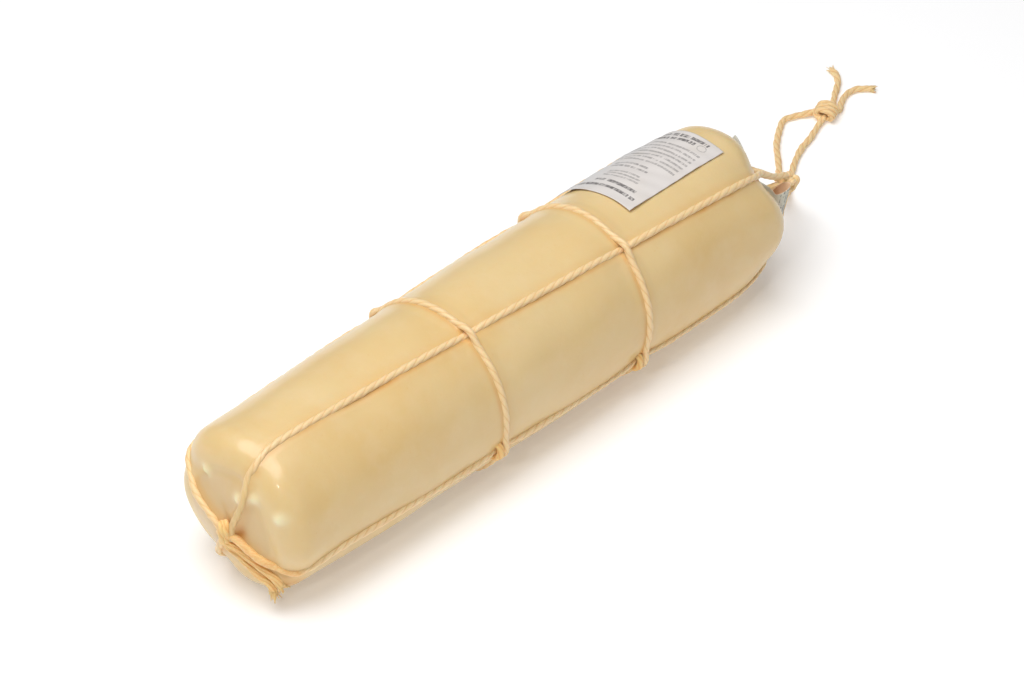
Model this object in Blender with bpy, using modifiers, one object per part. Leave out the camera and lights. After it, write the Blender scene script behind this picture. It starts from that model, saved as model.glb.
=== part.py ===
"""Tied log of provolone-type cheese, lying on its side in a net of twine.

Metres, +Z up. The log's axis runs along X: the knotted end is at -X and the end with
the hanging loop at +X. Angles round the log are measured from +Z towards -Y.
"""
import math

import bmesh
import bpy
import numpy as np
from mathutils import Vector

# The log
LENGTH = 0.475
NEAR_RADIUS = 0.0557
FAR_RADIUS = 0.0577
BULGE = 0.0036
NEAR_CORNER = 0.018
FAR_CORNER = 0.026
NEAR_DOME = 0.004
FAR_DOME = 0.003
FLAT_HEIGHT = 0.0555

# The twine
TWINE = 0.0048
RADIUS = TWINE / 2
GAP = 0.0007
PROUD = 0.0006
END_LIFT = RADIUS + 0.0016
FLOOR_GAP = 0.0002
TWINE_ROUNDNESS = 2

# Each strand's angle at the knotted end and at the loop end
STRAND_ANGLES = [
    (math.radians(13.5), math.radians(42.0)),
    (math.radians(101.0), math.radians(122.0)),
    (math.radians(200.0), math.radians(230.0)),
    (math.radians(292.0), math.radians(302.0)),
]
# Strand 2 sags towards the table where it turns the knotted end's rim: how far, where, how long
SWAY = (math.radians(14.0), 0.047, 0.024)
GROOVE_WIDTH = 0.0036
SINK_LENGTH = 0.010
CROSSING_SINK = 0.0012
HOOP_LIFT = 0.0040
LIFT_LENGTH = 0.0072
CROSSING_SPACE = TWINE + 0.0005

# Where each hoop goes round, and how it leans: along X for each metre up and sideways
HOOPS = [(-0.0513, 0.026, -0.015), (0.0844, 0.064, 0.001)]
HOOP_CLEAR = 0.060

# The log's rings beside a hoop, its points beside a strand, and its rings on the two end faces
RINGS_BESIDE = (-0.0115, -0.0055, -0.0020, 0.0, 0.0020, 0.0055, 0.0115)
POINTS_BESIDE = ((0.0115, 0.60), (0.0055, 0.35), (0.0020, 0.15))
NEAR_FACE_RINGS = (0.008, 0.018, 0.027)
FAR_FACE_RINGS = (0.019, 0.010)
RINGS_BETWEEN = (9, 7, 7)
LEAN_FREE = 0.012

# A hoop's points: how many evenly round, and the ones that follow its climb over a strand
HOOP_POINTS = 37
CLIMB_POINTS = (-0.0085, -0.0045, 0.0, 0.0045, 0.0085)
CLIMB_CLEAR = 0.0110
HITCH_CLEAR = 0.0010

# How deep the strands pull the rims in, how far along and how far round
NEAR_PINCH = (0.0030, 0.022, 0.013)
FAR_PINCH = (0.0088, 0.028, 0.021)

# The knotted end's rim is worn rounder on its underside: how deep, along, at and over what angle
NEAR_WEAR = (0.0042, 0.020, math.radians(215.0), math.radians(55.0))
HOOP_PINCH = (0.0011, 0.020)

# The knots' centres out from their end faces, and their half sizes
NEAR_KNOT = (-0.0062, -0.0030, -0.0045)
NEAR_KNOT_SIZE = (0.0056, 0.0085, 0.0080)
FAR_KNOT = (0.0240, -0.0261, 0.0076)
FAR_KNOT_SIZE = (0.0066, 0.0066, 0.0066)
KNOT_GAP = 0.0016
KNOT_CORE = 0.95
KNOT_RIDGE = 0.07

# Where each strand aims beside the near knot's middle, across and up, and its places on the way
NEAR_AIMS = [(-0.0050, 0.0), (-0.0020, 0.0045), (0.0, 0.0), (0.0, 0.0)]
NEAR_RUN_SHARES = (0.4, 0.8)
END_SPACING = 0.007
END_SAMPLES = 90
LOOP_SPACING = 0.0085

# Where each strand passes on its way from the far rim to the gathering knot: beyond the end, across, up
RIM_LEAVE = 0.022
FAR_ROUTES = [
    [(-0.0091, -0.0283, 0.0329), (0.0025, -0.0275, 0.0245), (0.0115, -0.0268, 0.0190),
     (0.0188, -0.0265, 0.0162)],
    [(0.0040, -0.0330, -0.0185), (0.0165, -0.0262, -0.0130)],
    [(0.0045, 0.0130, -0.0150), (0.0150, -0.0090, -0.0030)],
    [(-0.0010, 0.0275, 0.0190), (0.0055, 0.0135, 0.0145), (0.0140, -0.0050, 0.0110)],
]
HITCH_SIZE = (0.0085, 0.0062, 0.0044)
HITCH_GAP = 0.0006
LOOP_KNOT_SIZE = (0.0085, 0.0068, 0.0052)

# The printed label: first and last place along X, and angles
LABEL_SPAN = (0.112, 0.205)
LABEL_ANGLES = (math.radians(-52.0), math.radians(15.0))
LABEL_LIFT = 0.0009
PAPER = 0.0004

# The paper band across the loop end
BAND_WIDTH = 0.023
BAND_LEFT = (0.0030, 0.0150, 0.0265)
BAND_TURN = (0.0078, -0.0293, 0.0003)
BAND_CURL = 0.0068
BAND_CURL_ANGLE = math.radians(290)
BAND_FLAT_SHARE = 0.50
BAND_LEAN = 0.0045
BAND_TILT = 0.45
TUBE_LEAN = 0.25
LABEL_GRID = (12, 11)
BAND_GRID = (26, 6)

# The hanging loop, laid on the table: places beyond the end face, across and up
LOOP_LEFT = [
    (0.0280, -0.0191, 0.0596), (0.0360, -0.0105, 0.0500), (0.0440, -0.0020, 0.0390),
    (0.0520, 0.0060, 0.0270), (0.0600, 0.0140, 0.0160), (0.0685, 0.0210, 0.0072),
    (0.0775, 0.0280, 0.0030), (0.0865, 0.0345, 0.00255), (0.0950, 0.0415, 0.00255),
    (0.1040, 0.0503, 0.00255), (0.1144, 0.0605, 0.00255), (0.1311, 0.0720, 0.00255),
    (0.1415, 0.0768, 0.00255), (0.1515, 0.0735, 0.00270), (0.1588, 0.0688, 0.00340),
]
LOOP_RIGHT = [
    (0.0328, -0.0246, 0.0596), (0.0400, -0.0165, 0.0500), (0.0480, -0.0080, 0.0390),
    (0.0560, 0.0000, 0.0270), (0.0640, 0.0075, 0.0160), (0.0730, 0.0145, 0.0072),
    (0.0825, 0.0215, 0.0030), (0.0920, 0.0280, 0.00255), (0.1010, 0.0340, 0.00255),
    (0.1108, 0.0396, 0.00255), (0.1247, 0.0458, 0.00255), (0.1366, 0.0489, 0.00255),
    (0.1473, 0.0528, 0.00270), (0.1568, 0.0560, 0.00340),
]
LOOP_KNOT = (0.1675, 0.0610, 0.0054)
TAIL_LEFT = [
    (0.1768, 0.0622, 0.00330), (0.1830, 0.0665, 0.00270), (0.1901, 0.0712, 0.00255),
    (0.2033, 0.0796, 0.00255), (0.2095, 0.0870, 0.00255), (0.2112, 0.0927, 0.00255),
]
TAIL_RIGHT = [
    (0.1770, 0.0562, 0.00330), (0.1835, 0.0600, 0.00270), (0.1895, 0.0632, 0.00255),
    (0.1983, 0.0655, 0.00255), (0.2060, 0.0638, 0.00255), (0.2125, 0.0577, 0.00255),
    (0.2140, 0.0553, 0.00255),
]

# The knot's own tails lie down the end face: distances from its middle and angles, then the free tip
NEAR_TAILS = [
    ([(0.0170, 165.0), (0.022, 147.5), (0.031, 140.5), (0.040, 136.0), (0.0455, 134.0)],
     (-0.2325, -0.0364, -0.0430)),
    ([(0.0190, 135.0), (0.0240, 130.5), (0.030, 128.0), (0.0385, 126.0), (0.0455, 125.5)],
     (-0.2298, -0.0410, -0.0362)),
]
TAIL_LIFT = 0.0034

NEAR_FACE = NEAR_RADIUS - NEAR_CORNER
FAR_FACE = FAR_RADIUS - FAR_CORNER
BARREL_START = -LENGTH / 2 + NEAR_DOME + NEAR_CORNER
BARREL_END = LENGTH / 2 - FAR_DOME - FAR_CORNER
PATH_LENGTHS = [
    NEAR_FACE,
    NEAR_CORNER * math.pi / 2,
    BARREL_END - BARREL_START,
    FAR_CORNER * math.pi / 2,
    FAR_FACE,
]
PATH_MARKS = np.concatenate([[0.0], np.cumsum(PATH_LENGTHS)])


def clear_scene():
    for obj in list(bpy.data.objects):
        bpy.data.objects.remove(obj, do_unlink=True)


def barrel_radius(x):
    """The plain log's radius: a straight taper with a slight swelling in the middle."""
    t = np.clip((x + LENGTH / 2) / LENGTH, 0.0, 1.0)
    return NEAR_RADIUS + (FAR_RADIUS - NEAR_RADIUS) * t + BULGE * 4 * t * (1 - t)


def outline(s):
    """Place along X and radius, for a distance s from one end's middle to the other's."""
    s = np.asarray(s, float)
    near_turn = np.clip((s - PATH_MARKS[1]) / NEAR_CORNER, 0.0, math.pi / 2)
    far_turn = np.clip((s - PATH_MARKS[3]) / FAR_CORNER, 0.0, math.pi / 2)
    near_r = np.clip(s, 0.0, NEAR_FACE)
    far_r = np.clip(PATH_MARKS[5] - s, 0.0, FAR_FACE)
    barrel_x = BARREL_START + s - PATH_MARKS[2]
    x = np.select(
        [s < PATH_MARKS[1], s < PATH_MARKS[2], s < PATH_MARKS[3], s < PATH_MARKS[4]],
        [
            -LENGTH / 2 + NEAR_DOME * (near_r / NEAR_FACE) ** 2,
            BARREL_START - NEAR_CORNER * np.cos(near_turn),
            barrel_x,
            BARREL_END + FAR_CORNER * np.sin(far_turn),
        ],
        LENGTH / 2 - FAR_DOME * (far_r / FAR_FACE) ** 2,
    )
    near_corner_r = barrel_radius(x) - NEAR_CORNER * (1 - np.sin(near_turn))
    far_corner_r = barrel_radius(x) - FAR_CORNER * (1 - np.cos(far_turn))
    near_edge = barrel_radius(BARREL_START - NEAR_CORNER) - NEAR_CORNER
    far_edge = barrel_radius(BARREL_END + FAR_CORNER) - FAR_CORNER
    r = np.select(
        [s < PATH_MARKS[1], s < PATH_MARKS[2], s < PATH_MARKS[3], s < PATH_MARKS[4]],
        [near_r * near_edge / NEAR_FACE, near_corner_r, barrel_radius(x), far_corner_r],
        far_r * far_edge / FAR_FACE,
    )
    return x, r


def outline_normal(s):
    step = 0.0008
    s = np.clip(s, step, PATH_MARKS[5] - step)
    x0, r0 = outline(s - step)
    x1, r1 = outline(s + step)
    size = np.hypot(x1 - x0, r1 - r0)
    return -(r1 - r0) / size, (x1 - x0) / size


def strand_angle(k, s):
    """Each strand winds slowly round the log from one end to the other."""
    start, end = STRAND_ANGLES[k]
    t = np.clip((s - PATH_MARKS[1]) / (PATH_MARKS[4] - PATH_MARKS[1]), 0.0, 1.0)
    sway = SWAY[0] * np.exp(-(((s - SWAY[1]) / SWAY[2]) ** 2)) if k == 1 else 0.0
    return start + (end - start) * t + sway


def angle_between(a, b):
    return (a - b + math.pi) % (2 * math.pi) - math.pi


def hoop_place(h, angle):
    """The distance s at which a hoop passes a given angle."""
    along, up, sideways = HOOPS[h]
    r = barrel_radius(along)
    x = along + up * r * np.cos(angle) - sideways * r * np.sin(angle)
    return PATH_MARKS[2] + x - BARREL_START


def pinch(s, angle):
    """How far the net pulls the plain log in: at both rims, under each strand, and at the hoops."""
    x, r = outline(s)
    depth = np.zeros(np.broadcast(s, angle).shape)
    for place, (deep, along, around) in (
        ((PATH_MARKS[1] + PATH_MARKS[2]) / 2, NEAR_PINCH),
        ((PATH_MARKS[3] + PATH_MARKS[4]) / 2, FAR_PINCH),
    ):
        for k in range(len(STRAND_ANGLES)):
            off = angle_between(angle, strand_angle(k, s)) * np.maximum(r, 0.012)
            depth = depth + deep * np.exp(-((s - place) / along) ** 2 - (off / around) ** 2)
    deep, along, middle, spread = NEAR_WEAR
    near_rim = (PATH_MARKS[1] + PATH_MARKS[2]) / 2
    round_it = (angle_between(angle, middle) / spread) ** 2
    depth = depth + deep * np.exp(-(((s - near_rim) / along) ** 2) - round_it)
    for h in range(len(HOOPS)):
        deep, along = HOOP_PINCH
        depth = depth + deep * np.exp(-((s - hoop_place(h, angle)) / along) ** 2)
    return depth


def kept_off_table(r, angle):
    """The largest radius at which a string's middle still clears the table."""
    down = np.maximum(-np.cos(angle), 1e-6)
    return np.minimum(r, (FLAT_HEIGHT - RADIUS - FLOOR_GAP) / down)


def hoop_height(h, angle):
    """A hoop's height over the pinched surface: it climbs over each strand."""
    r = barrel_radius(HOOPS[h][0])
    lift = np.zeros(np.shape(angle))
    for k in range(len(STRAND_ANGLES)):
        off = angle_between(angle, strand_angle(k, hoop_place(h, angle))) * r
        lift = lift + HOOP_LIFT * np.exp(-((off / LIFT_LENGTH) ** 2))
    free = r + PROUD + lift - HOOP_PINCH[0]
    return kept_off_table(free, angle) - r + HOOP_PINCH[0]


def strand_height(k, s):
    """A strand's height over the pinched surface: it sinks where a hoop crosses it."""
    sink = np.zeros(np.shape(s))
    for h in range(len(HOOPS)):
        cross = crossing(k, h)
        beside = np.array([-0.8, 0.0, 0.8]) * RADIUS / barrel_radius(HOOPS[h][0])
        lowest = float(np.min(hoop_height(h, strand_angle(k, cross) + beside)))
        deep = max(CROSSING_SINK, PROUD - lowest + CROSSING_SPACE)
        sink = sink + deep * np.exp(-(((s - cross) / SINK_LENGTH) ** 2))
    return PROUD - sink


def crossing(k, h):
    """The distance s at which strand k meets hoop h."""
    s = PATH_MARKS[2] + HOOPS[h][0] - BARREL_START
    for _ in range(4):
        s = hoop_place(h, strand_angle(k, s))
    return s


def string_dip(s, angle, height):
    """How deep the log is pressed in under a string: its middle, less its radius and a gap."""
    x, r = outline(s)
    along, out = outline_normal(s)
    depth = pinch(s, angle)
    string_r = r + out * (height - depth)
    lowered = kept_off_table(string_r, angle)
    return RADIUS + GAP - height + (string_r - lowered) * np.maximum(out, 0.0)


def press(off, depth):
    return depth * np.exp(-((off / GROOVE_WIDTH) ** 4))


def dips(s, angle):
    """Pinches and grooves together, as a depth along the log's normal."""
    x, r = outline(s)
    strand = np.zeros(np.broadcast(s, angle).shape)
    on_face = np.clip((r - 0.016) / 0.014, 0.0, 1.0)
    for k in range(len(STRAND_ANGLES)):
        line = strand_angle(k, s)
        off = angle_between(angle, line) * r
        dip = string_dip(s, line, strand_height(k, s)) * on_face
        strand = np.maximum(strand, press(off, dip))
    hoop = np.zeros(strand.shape)
    for h in range(len(HOOPS)):
        place = hoop_place(h, angle)
        dip = string_dip(place, angle, hoop_height(h, angle))
        hoop = np.maximum(hoop, press(s - place, np.maximum(dip, 0.0)))
    return pinch(s, angle) + (strand**4 + hoop**4 + 1e-24) ** 0.25


def place_on_log(s, angle, height, grooves=True):
    """The point at a height over the log, in the log's own frame."""
    x, r = outline(s)
    along, out = outline_normal(s)
    depth = dips(s, angle) if grooves else pinch(s, angle)
    x = x + along * (height - depth)
    r = r + out * (height - depth)
    return np.stack([x, -r * np.sin(angle), r * np.cos(angle)], -1)


def log_stations():
    """Distances s of the rings of points: close together at the ends and beside the hoops."""
    near_face = list(NEAR_FACE_RINGS)
    near_turn = list(np.linspace(PATH_MARKS[1], PATH_MARKS[2], 5))
    far_turn = list(np.linspace(PATH_MARKS[3], PATH_MARKS[4], 6))
    far_face = [PATH_MARKS[5] - d for d in FAR_FACE_RINGS]
    centres = [PATH_MARKS[2] + hoop[0] - BARREL_START for hoop in HOOPS]
    hoops = [centre + d for centre in centres for d in RINGS_BESIDE]
    starts = [PATH_MARKS[2]] + [centre + RINGS_BESIDE[-1] for centre in centres]
    ends = [centre + RINGS_BESIDE[0] for centre in centres] + [PATH_MARKS[3]]
    between = []
    for start, end, count in zip(starts, ends, RINGS_BETWEEN):
        between += list(np.linspace(start, end, count + 1)[1:-1])
    return np.array(sorted(near_face + near_turn + far_turn + far_face + hoops + between))


def log_columns(s, r):
    """Angles of the points in one ring: seven follow each strand, three lie between strands."""
    last, outer, inner = [min(off / r, widest) for off, widest in POINTS_BESIDE]
    lines = [float(strand_angle(k, s)) for k in range(len(STRAND_ANGLES))]
    angles = []
    for k, line in enumerate(lines):
        following = lines[(k + 1) % len(lines)] + (2 * math.pi if k == len(lines) - 1 else 0.0)
        angles += [line - last, line - outer, line - inner, line]
        angles += [line + inner, line + outer, line + last]
        between = np.linspace(line + last, following - last, 5)[1:-1]
        angles += list(between)
    return np.array(angles)


def lean(s, angle):
    """Rings beside a hoop lean with it."""
    shift = np.zeros(np.shape(angle))
    for h in range(len(HOOPS)):
        centre = PATH_MARKS[2] + HOOPS[h][0] - BARREL_START
        share = max(0.0, 1.0 - max(0.0, abs(s - centre) - LEAN_FREE) / HOOP_CLEAR)
        shift = shift + share * (hoop_place(h, angle) - centre)
    return s + shift


def cheese_points():
    """Rings of points over the whole log, flat where it rests, from -X to +X."""
    rings = []
    for s in log_stations():
        angles = log_columns(s, float(outline(s)[1]))
        points = place_on_log(lean(s, angles), angles, 0.0)
        points[:, 2] = np.maximum(points[:, 2], -FLAT_HEIGHT)
        rings.append(points)
    return rings


def new_object(name, mesh_or_curve, collection, paint):
    obj = bpy.data.objects.new(name, mesh_or_curve)
    obj.data.materials.append(paint)
    collection.objects.link(obj)
    return obj


def material(name, color, roughness):
    made = bpy.data.materials.new(name)
    made.use_nodes = True
    shader = made.node_tree.nodes["Principled BSDF"]
    shader.inputs["Base Color"].default_value = (*color, 1.0)
    shader.inputs["Roughness"].default_value = roughness
    shader.inputs["Metallic"].default_value = 0.0
    made.diffuse_color = (*color, 1.0)
    return made


def build_cheese(collection):
    """A UV sphere whose rings and columns are moved to the log's surface."""
    rings = cheese_points()
    columns = len(rings[0])
    bm = bmesh.new()
    bmesh.ops.create_uvsphere(bm, u_segments=columns, v_segments=len(rings) + 1, radius=1.0)
    for vert in bm.verts:
        down = math.acos(max(-1.0, min(1.0, vert.co.z)))
        ring = round(down / math.pi * (len(rings) + 1)) - 1
        turn = -math.atan2(vert.co.y, vert.co.x)
        column = round(turn / (2 * math.pi) * columns) % columns
        if ring < 0:
            vert.co = (-LENGTH / 2, 0.0, 0.0)
        elif ring >= len(rings):
            vert.co = (LENGTH / 2, 0.0, 0.0)
        else:
            vert.co = rings[ring][column]
    bmesh.ops.recalc_face_normals(bm, faces=bm.faces)
    mesh = bpy.data.meshes.new("cheese_body")
    bm.to_mesh(mesh)
    bm.free()
    mesh.shade_smooth()
    paint = material("waxed cheese", (0.80, 0.60, 0.34), 0.42)
    obj = new_object("cheese_body", mesh, collection, paint)
    obj.location.z = FLAT_HEIGHT
    return obj


def blend_points(a, b, start, end, t):
    return a * (end - t) / (end - start) + b * (t - start) / (end - start)


def smooth_path(points, spacing):
    """Even points on a smooth curve through the given ones (centripetal Catmull-Rom)."""
    given = [np.asarray(p, float) for p in points]
    given = [2 * given[0] - given[1]] + given + [2 * given[-1] - given[-2]]
    fine = []
    for four in zip(given, given[1:], given[2:], given[3:]):
        times = [0.0]
        for p, q in zip(four, four[1:]):
            times.append(times[-1] + float(np.linalg.norm(q - p)) ** 0.5)
        for t in np.linspace(times[1], times[2], 16, endpoint=False):
            rows = list(four)
            rows = [blend_points(rows[i], rows[i + 1], times[i], times[i + 1], t) for i in range(3)]
            rows = [blend_points(rows[i], rows[i + 1], times[i], times[i + 2], t) for i in range(2)]
            fine.append(blend_points(rows[0], rows[1], times[1], times[2], t))
    fine.append(given[-2])
    fine = np.array(fine)
    steps = np.linalg.norm(np.diff(fine, axis=0), axis=1)
    run = np.concatenate([[0.0], np.cumsum(steps)])
    even = np.linspace(0.0, run[-1], max(3, round(run[-1] / spacing) + 1))
    return np.stack([np.interp(even, run, fine[:, i]) for i in range(3)], -1)


def twine(name, points, collection, paint, z=0.0):
    """A length of twine: a round tube with closed ends along the points."""
    curve = bpy.data.curves.new(name, "CURVE")
    curve.dimensions = "3D"
    curve.bevel_depth = RADIUS
    curve.bevel_resolution = TWINE_ROUNDNESS
    curve.use_fill_caps = True
    spline = curve.splines.new("POLY")
    spline.points.add(len(points) - 1)
    for spot, point in zip(spline.points, points):
        spot.co = (*point, 1.0)
    obj = new_object(name, curve, collection, paint)
    obj.location.z = z
    return obj


def strand_on_log(k):
    """One lengthwise strand's middle line between the two end corners."""
    stations = log_stations()
    start, end = PATH_MARKS[1] - 0.008, PATH_MARKS[3] + RIM_LEAVE
    stations = stations[(stations > start) & (stations < end)]
    keep = [stations[0]]
    for s in stations[1:]:
        if s - keep[-1] > 0.0032:
            keep.append(s)
    s = np.array(keep)
    angle = strand_angle(k, s)
    points = place_on_log(s, angle, strand_height(k, s), grooves=False)
    r = np.hypot(points[:, 1], points[:, 2])
    scale = kept_off_table(r, angle) / r
    points[:, 1:] *= scale[:, None]
    return points


def end_surface(y, z, side, height):
    """Where the log's end lies along X, pinches and all, at a point across it."""
    if side < 0:
        s = np.linspace(0.0, PATH_MARKS[2], END_SAMPLES)
    else:
        s = np.linspace(PATH_MARKS[5], PATH_MARKS[3], END_SAMPLES)
    points = place_on_log(s, np.arctan2(-y, z), height, grooves=False)
    r = np.maximum.accumulate(np.hypot(points[:, 1], points[:, 2]))
    return float(np.interp(np.hypot(y, z), r, points[:, 0]))


def knot_edge(last, knot, size):
    """Where a strand that comes from one place stops, just outside a knot."""
    away = np.asarray(last) - knot
    return knot + away / np.linalg.norm(away) * (max(size) + KNOT_GAP)


def near_run(first, knot, size):
    """Over the knotted end from a strand's last place on the rim to the knot."""
    edge = knot_edge(first, knot, size)
    points = []
    for t in NEAR_RUN_SHARES:
        y, z = first[1:] + (edge[1:] - first[1:]) * t
        points.append((end_surface(y, z, -1, END_LIFT), y, z))
    return points + [(min(edge[0], end_surface(edge[1], edge[2], -1, END_LIFT)), edge[1], edge[2])]


def far_run(k, knot, size):
    """From the far rim through the strand's route to the gathering knot."""
    route = [(LENGTH / 2 + x, y, z) for x, y, z in FAR_ROUTES[k]]
    return route + [knot_edge(route[-1], knot, size)]


def knot_centre(offset, side):
    return np.array([side * LENGTH / 2, 0.0, 0.0]) + np.array(offset)


def build_strands(collection, paint):
    near = knot_centre(NEAR_KNOT, -1)
    far = knot_centre(FAR_KNOT, 1)
    for k in range(len(STRAND_ANGLES)):
        body = strand_on_log(k)
        aim = near + np.array([0.0, *NEAR_AIMS[k]])
        start = smooth_path([body[2], body[1]] + near_run(body[1], aim, NEAR_KNOT_SIZE), END_SPACING)
        end = smooth_path([body[-3], body[-2]] + far_run(k, far, FAR_KNOT_SIZE), END_SPACING)
        points = np.concatenate([start[::-1], body[3:-3], end])
        twine(f"strand_{k + 1}", points, collection, paint, FLAT_HEIGHT)


def hoop_angles(h):
    """Angles of a hoop's points from hitch to hitch, closer where it climbs over a strand."""
    r = barrel_radius(HOOPS[h][0])
    hitch = float(strand_angle(1, crossing(1, h)))
    clear = (HITCH_SIZE[1] + HITCH_CLEAR) / r
    crossings = [float(strand_angle(k, crossing(k, h))) for k in (2, 3, 0)]
    crossings = [a if a > hitch else a + 2 * math.pi for a in crossings]
    even = np.linspace(hitch + clear, hitch + 2 * math.pi - clear, HOOP_POINTS)
    far_off = [a for a in even if min(abs(a - c) for c in crossings) * r > CLIMB_CLEAR]
    climbs = [c + d / r for c in crossings for d in CLIMB_POINTS]
    return np.array(sorted(far_off + climbs))


def build_hoops(collection, paint):
    """Each hoop starts and ends at its hitch, outside strand 2."""
    for h in range(len(HOOPS)):
        angles = hoop_angles(h)
        s = hoop_place(h, angles)
        points = place_on_log(s, angles, hoop_height(h, angles), grooves=False)
        twine(f"hoop_{h + 1}", points, collection, paint, FLAT_HEIGHT)


def build_knot(name, centre, size, turn, collection, paint):
    """A knot's rounded lump, with two slanting turns of twine raised on it."""
    bm = bmesh.new()
    bmesh.ops.create_uvsphere(bm, u_segments=16, v_segments=10, radius=1.0)
    for vert in bm.verts:
        around = math.atan2(vert.co.y, vert.co.x)
        ridge = 1.0 + KNOT_RIDGE * math.cos(2 * around + 3.0 * vert.co.z) * (1 - vert.co.z**2)
        vert.co = Vector(size) * KNOT_CORE * ridge * vert.co
    mesh = bpy.data.meshes.new(name)
    bm.to_mesh(mesh)
    bm.free()
    mesh.shade_smooth()
    obj = new_object(name, mesh, collection, paint)
    obj.location = centre
    obj.rotation_euler = turn
    return obj


def build_knots(collection, paint):
    up = np.array([0.0, 0.0, FLAT_HEIGHT])
    for name, offset, side, size in (
        ("near_knot", NEAR_KNOT, -1, NEAR_KNOT_SIZE),
        ("far_knot", FAR_KNOT, 1, FAR_KNOT_SIZE),
    ):
        build_knot(name, knot_centre(offset, side) + up, size, (0, 0, 0), collection, paint)
    for h in range(len(HOOPS)):
        s = crossing(1, h)
        angle = float(strand_angle(1, s))
        height = float(strand_height(1, s)) + RADIUS + HITCH_GAP + HITCH_SIZE[2]
        centre = place_on_log(s, angle, height, grooves=False) + up
        build_knot(f"hitch_{h + 1}", centre, HITCH_SIZE, (angle, 0, 0), collection, paint)


def on_table(points):
    return [(LENGTH / 2 + x, y, z) for x, y, z in points]


def build_loop(collection, paint):
    for name, route in (
        ("loop_left", LOOP_LEFT),
        ("loop_right", LOOP_RIGHT),
        ("loop_tail_left", TAIL_LEFT),
        ("loop_tail_right", TAIL_RIGHT),
    ):
        twine(name, smooth_path(on_table(route), LOOP_SPACING), collection, paint)
    centre = on_table([LOOP_KNOT])[0]
    build_knot("loop_knot", centre, LOOP_KNOT_SIZE, (0, 0, math.radians(18)), collection, paint)


def build_near_tails(collection, paint):
    for name, (places, tip) in zip(("near_tail_left", "near_tail_right"), NEAR_TAILS):
        route = []
        for s, angle in places:
            route.append(place_on_log(np.array(s), math.radians(angle), TAIL_LIFT, grooves=False))
        twine(name, smooth_path(route + [tip], END_SPACING), collection, paint, FLAT_HEIGHT)


def paper_sheet(name, place, across, along, collection, paint, z):
    """A grid of paper whose points are moved by place(u, v), given a thickness."""
    bm = bmesh.new()
    bmesh.ops.create_grid(bm, x_segments=across, y_segments=along, size=0.5)
    for vert in bm.verts:
        vert.co = place(vert.co.x + 0.5, vert.co.y + 0.5)
    mesh = bpy.data.meshes.new(name)
    bm.to_mesh(mesh)
    bm.free()
    mesh.shade_smooth()
    obj = new_object(name, mesh, collection, paint)
    obj.location.z = z
    wall = obj.modifiers.new("thickness", "SOLIDIFY")
    wall.thickness = PAPER
    wall.offset = 0.0
    return obj


def label_place(u, v):
    s = PATH_MARKS[2] - BARREL_START + LABEL_SPAN[0] + (LABEL_SPAN[1] - LABEL_SPAN[0]) * u
    angle = LABEL_ANGLES[0] + (LABEL_ANGLES[1] - LABEL_ANGLES[0]) * v
    return place_on_log(np.array(s), np.array(angle), LABEL_LIFT, grooves=False)


def band_place(u, v):
    """The band leans on the end face, then its other end curls round in an upright tube."""
    across = v - 0.5
    left = np.array(BAND_LEFT)
    turn = np.array(BAND_TURN)
    tangent = turn - np.array([BAND_CURL, 0.0, 0.0])
    if u < BAND_FLAT_SHARE:
        t = u / BAND_FLAT_SHARE
        ease = t * t * (3 - 2 * t)
        place = left + (tangent - left) * np.array([t * t, t, ease])
        place[0] += (1 - t) * BAND_LEAN * 2 * across
    else:
        t = 1.0
        angle = (u - BAND_FLAT_SHARE) / (1 - BAND_FLAT_SHARE) * BAND_CURL_ANGLE
        place = turn - BAND_CURL * np.array([math.cos(angle), math.sin(angle), 0.0])
    tilt = BAND_TILT * (1 - t)
    width = BAND_WIDTH * across
    place[0] += LENGTH / 2 + TUBE_LEAN * t**3 * width
    place[1] -= tilt * width
    place[2] += math.sqrt(1 - tilt**2) * width
    return place


def build_papers(collection):
    white = material("label paper", (0.74, 0.71, 0.69), 0.55)
    grey = material("band paper", (0.62, 0.61, 0.58), 0.6)
    paper_sheet("label", label_place, *LABEL_GRID, collection, white, FLAT_HEIGHT)
    paper_sheet("paper_band", band_place, *BAND_GRID, collection, grey, FLAT_HEIGHT)


def centre_on_origin(collection, loose):
    """Moves everything so that the middle of the log, net and papers is over the origin."""
    bpy.context.view_layer.update()
    graph = bpy.context.evaluated_depsgraph_get()
    low = Vector((math.inf,) * 3)
    high = Vector((-math.inf,) * 3)
    for obj in collection.objects:
        if obj.name in loose:
            continue
        evaluated = obj.evaluated_get(graph)
        for vert in evaluated.to_mesh().vertices:
            spot = evaluated.matrix_world @ vert.co
            low = Vector(map(min, low, spot))
            high = Vector(map(max, high, spot))
        evaluated.to_mesh_clear()
    shift = Vector(((low.x + high.x) / 2, (low.y + high.y) / 2, low.z))
    for obj in collection.objects:
        obj.location -= shift


def main():
    clear_scene()
    collection = bpy.data.collections.new("tied_cheese_log")
    bpy.context.scene.collection.children.link(collection)
    cream = material("waxed twine", (0.84, 0.62, 0.35), 0.6)
    build_cheese(collection)
    build_strands(collection, cream)
    build_hoops(collection, cream)
    build_knots(collection, cream)
    build_near_tails(collection, cream)
    build_loop(collection, cream)
    build_papers(collection)
    loose = {"loop_left", "loop_right", "loop_knot", "loop_tail_left", "loop_tail_right"}
    centre_on_origin(collection, loose)


main()
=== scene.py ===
# A waxed log of provolone-type cheese in its net of twine, with a label, a paper band and a hanging loop
import math

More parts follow.
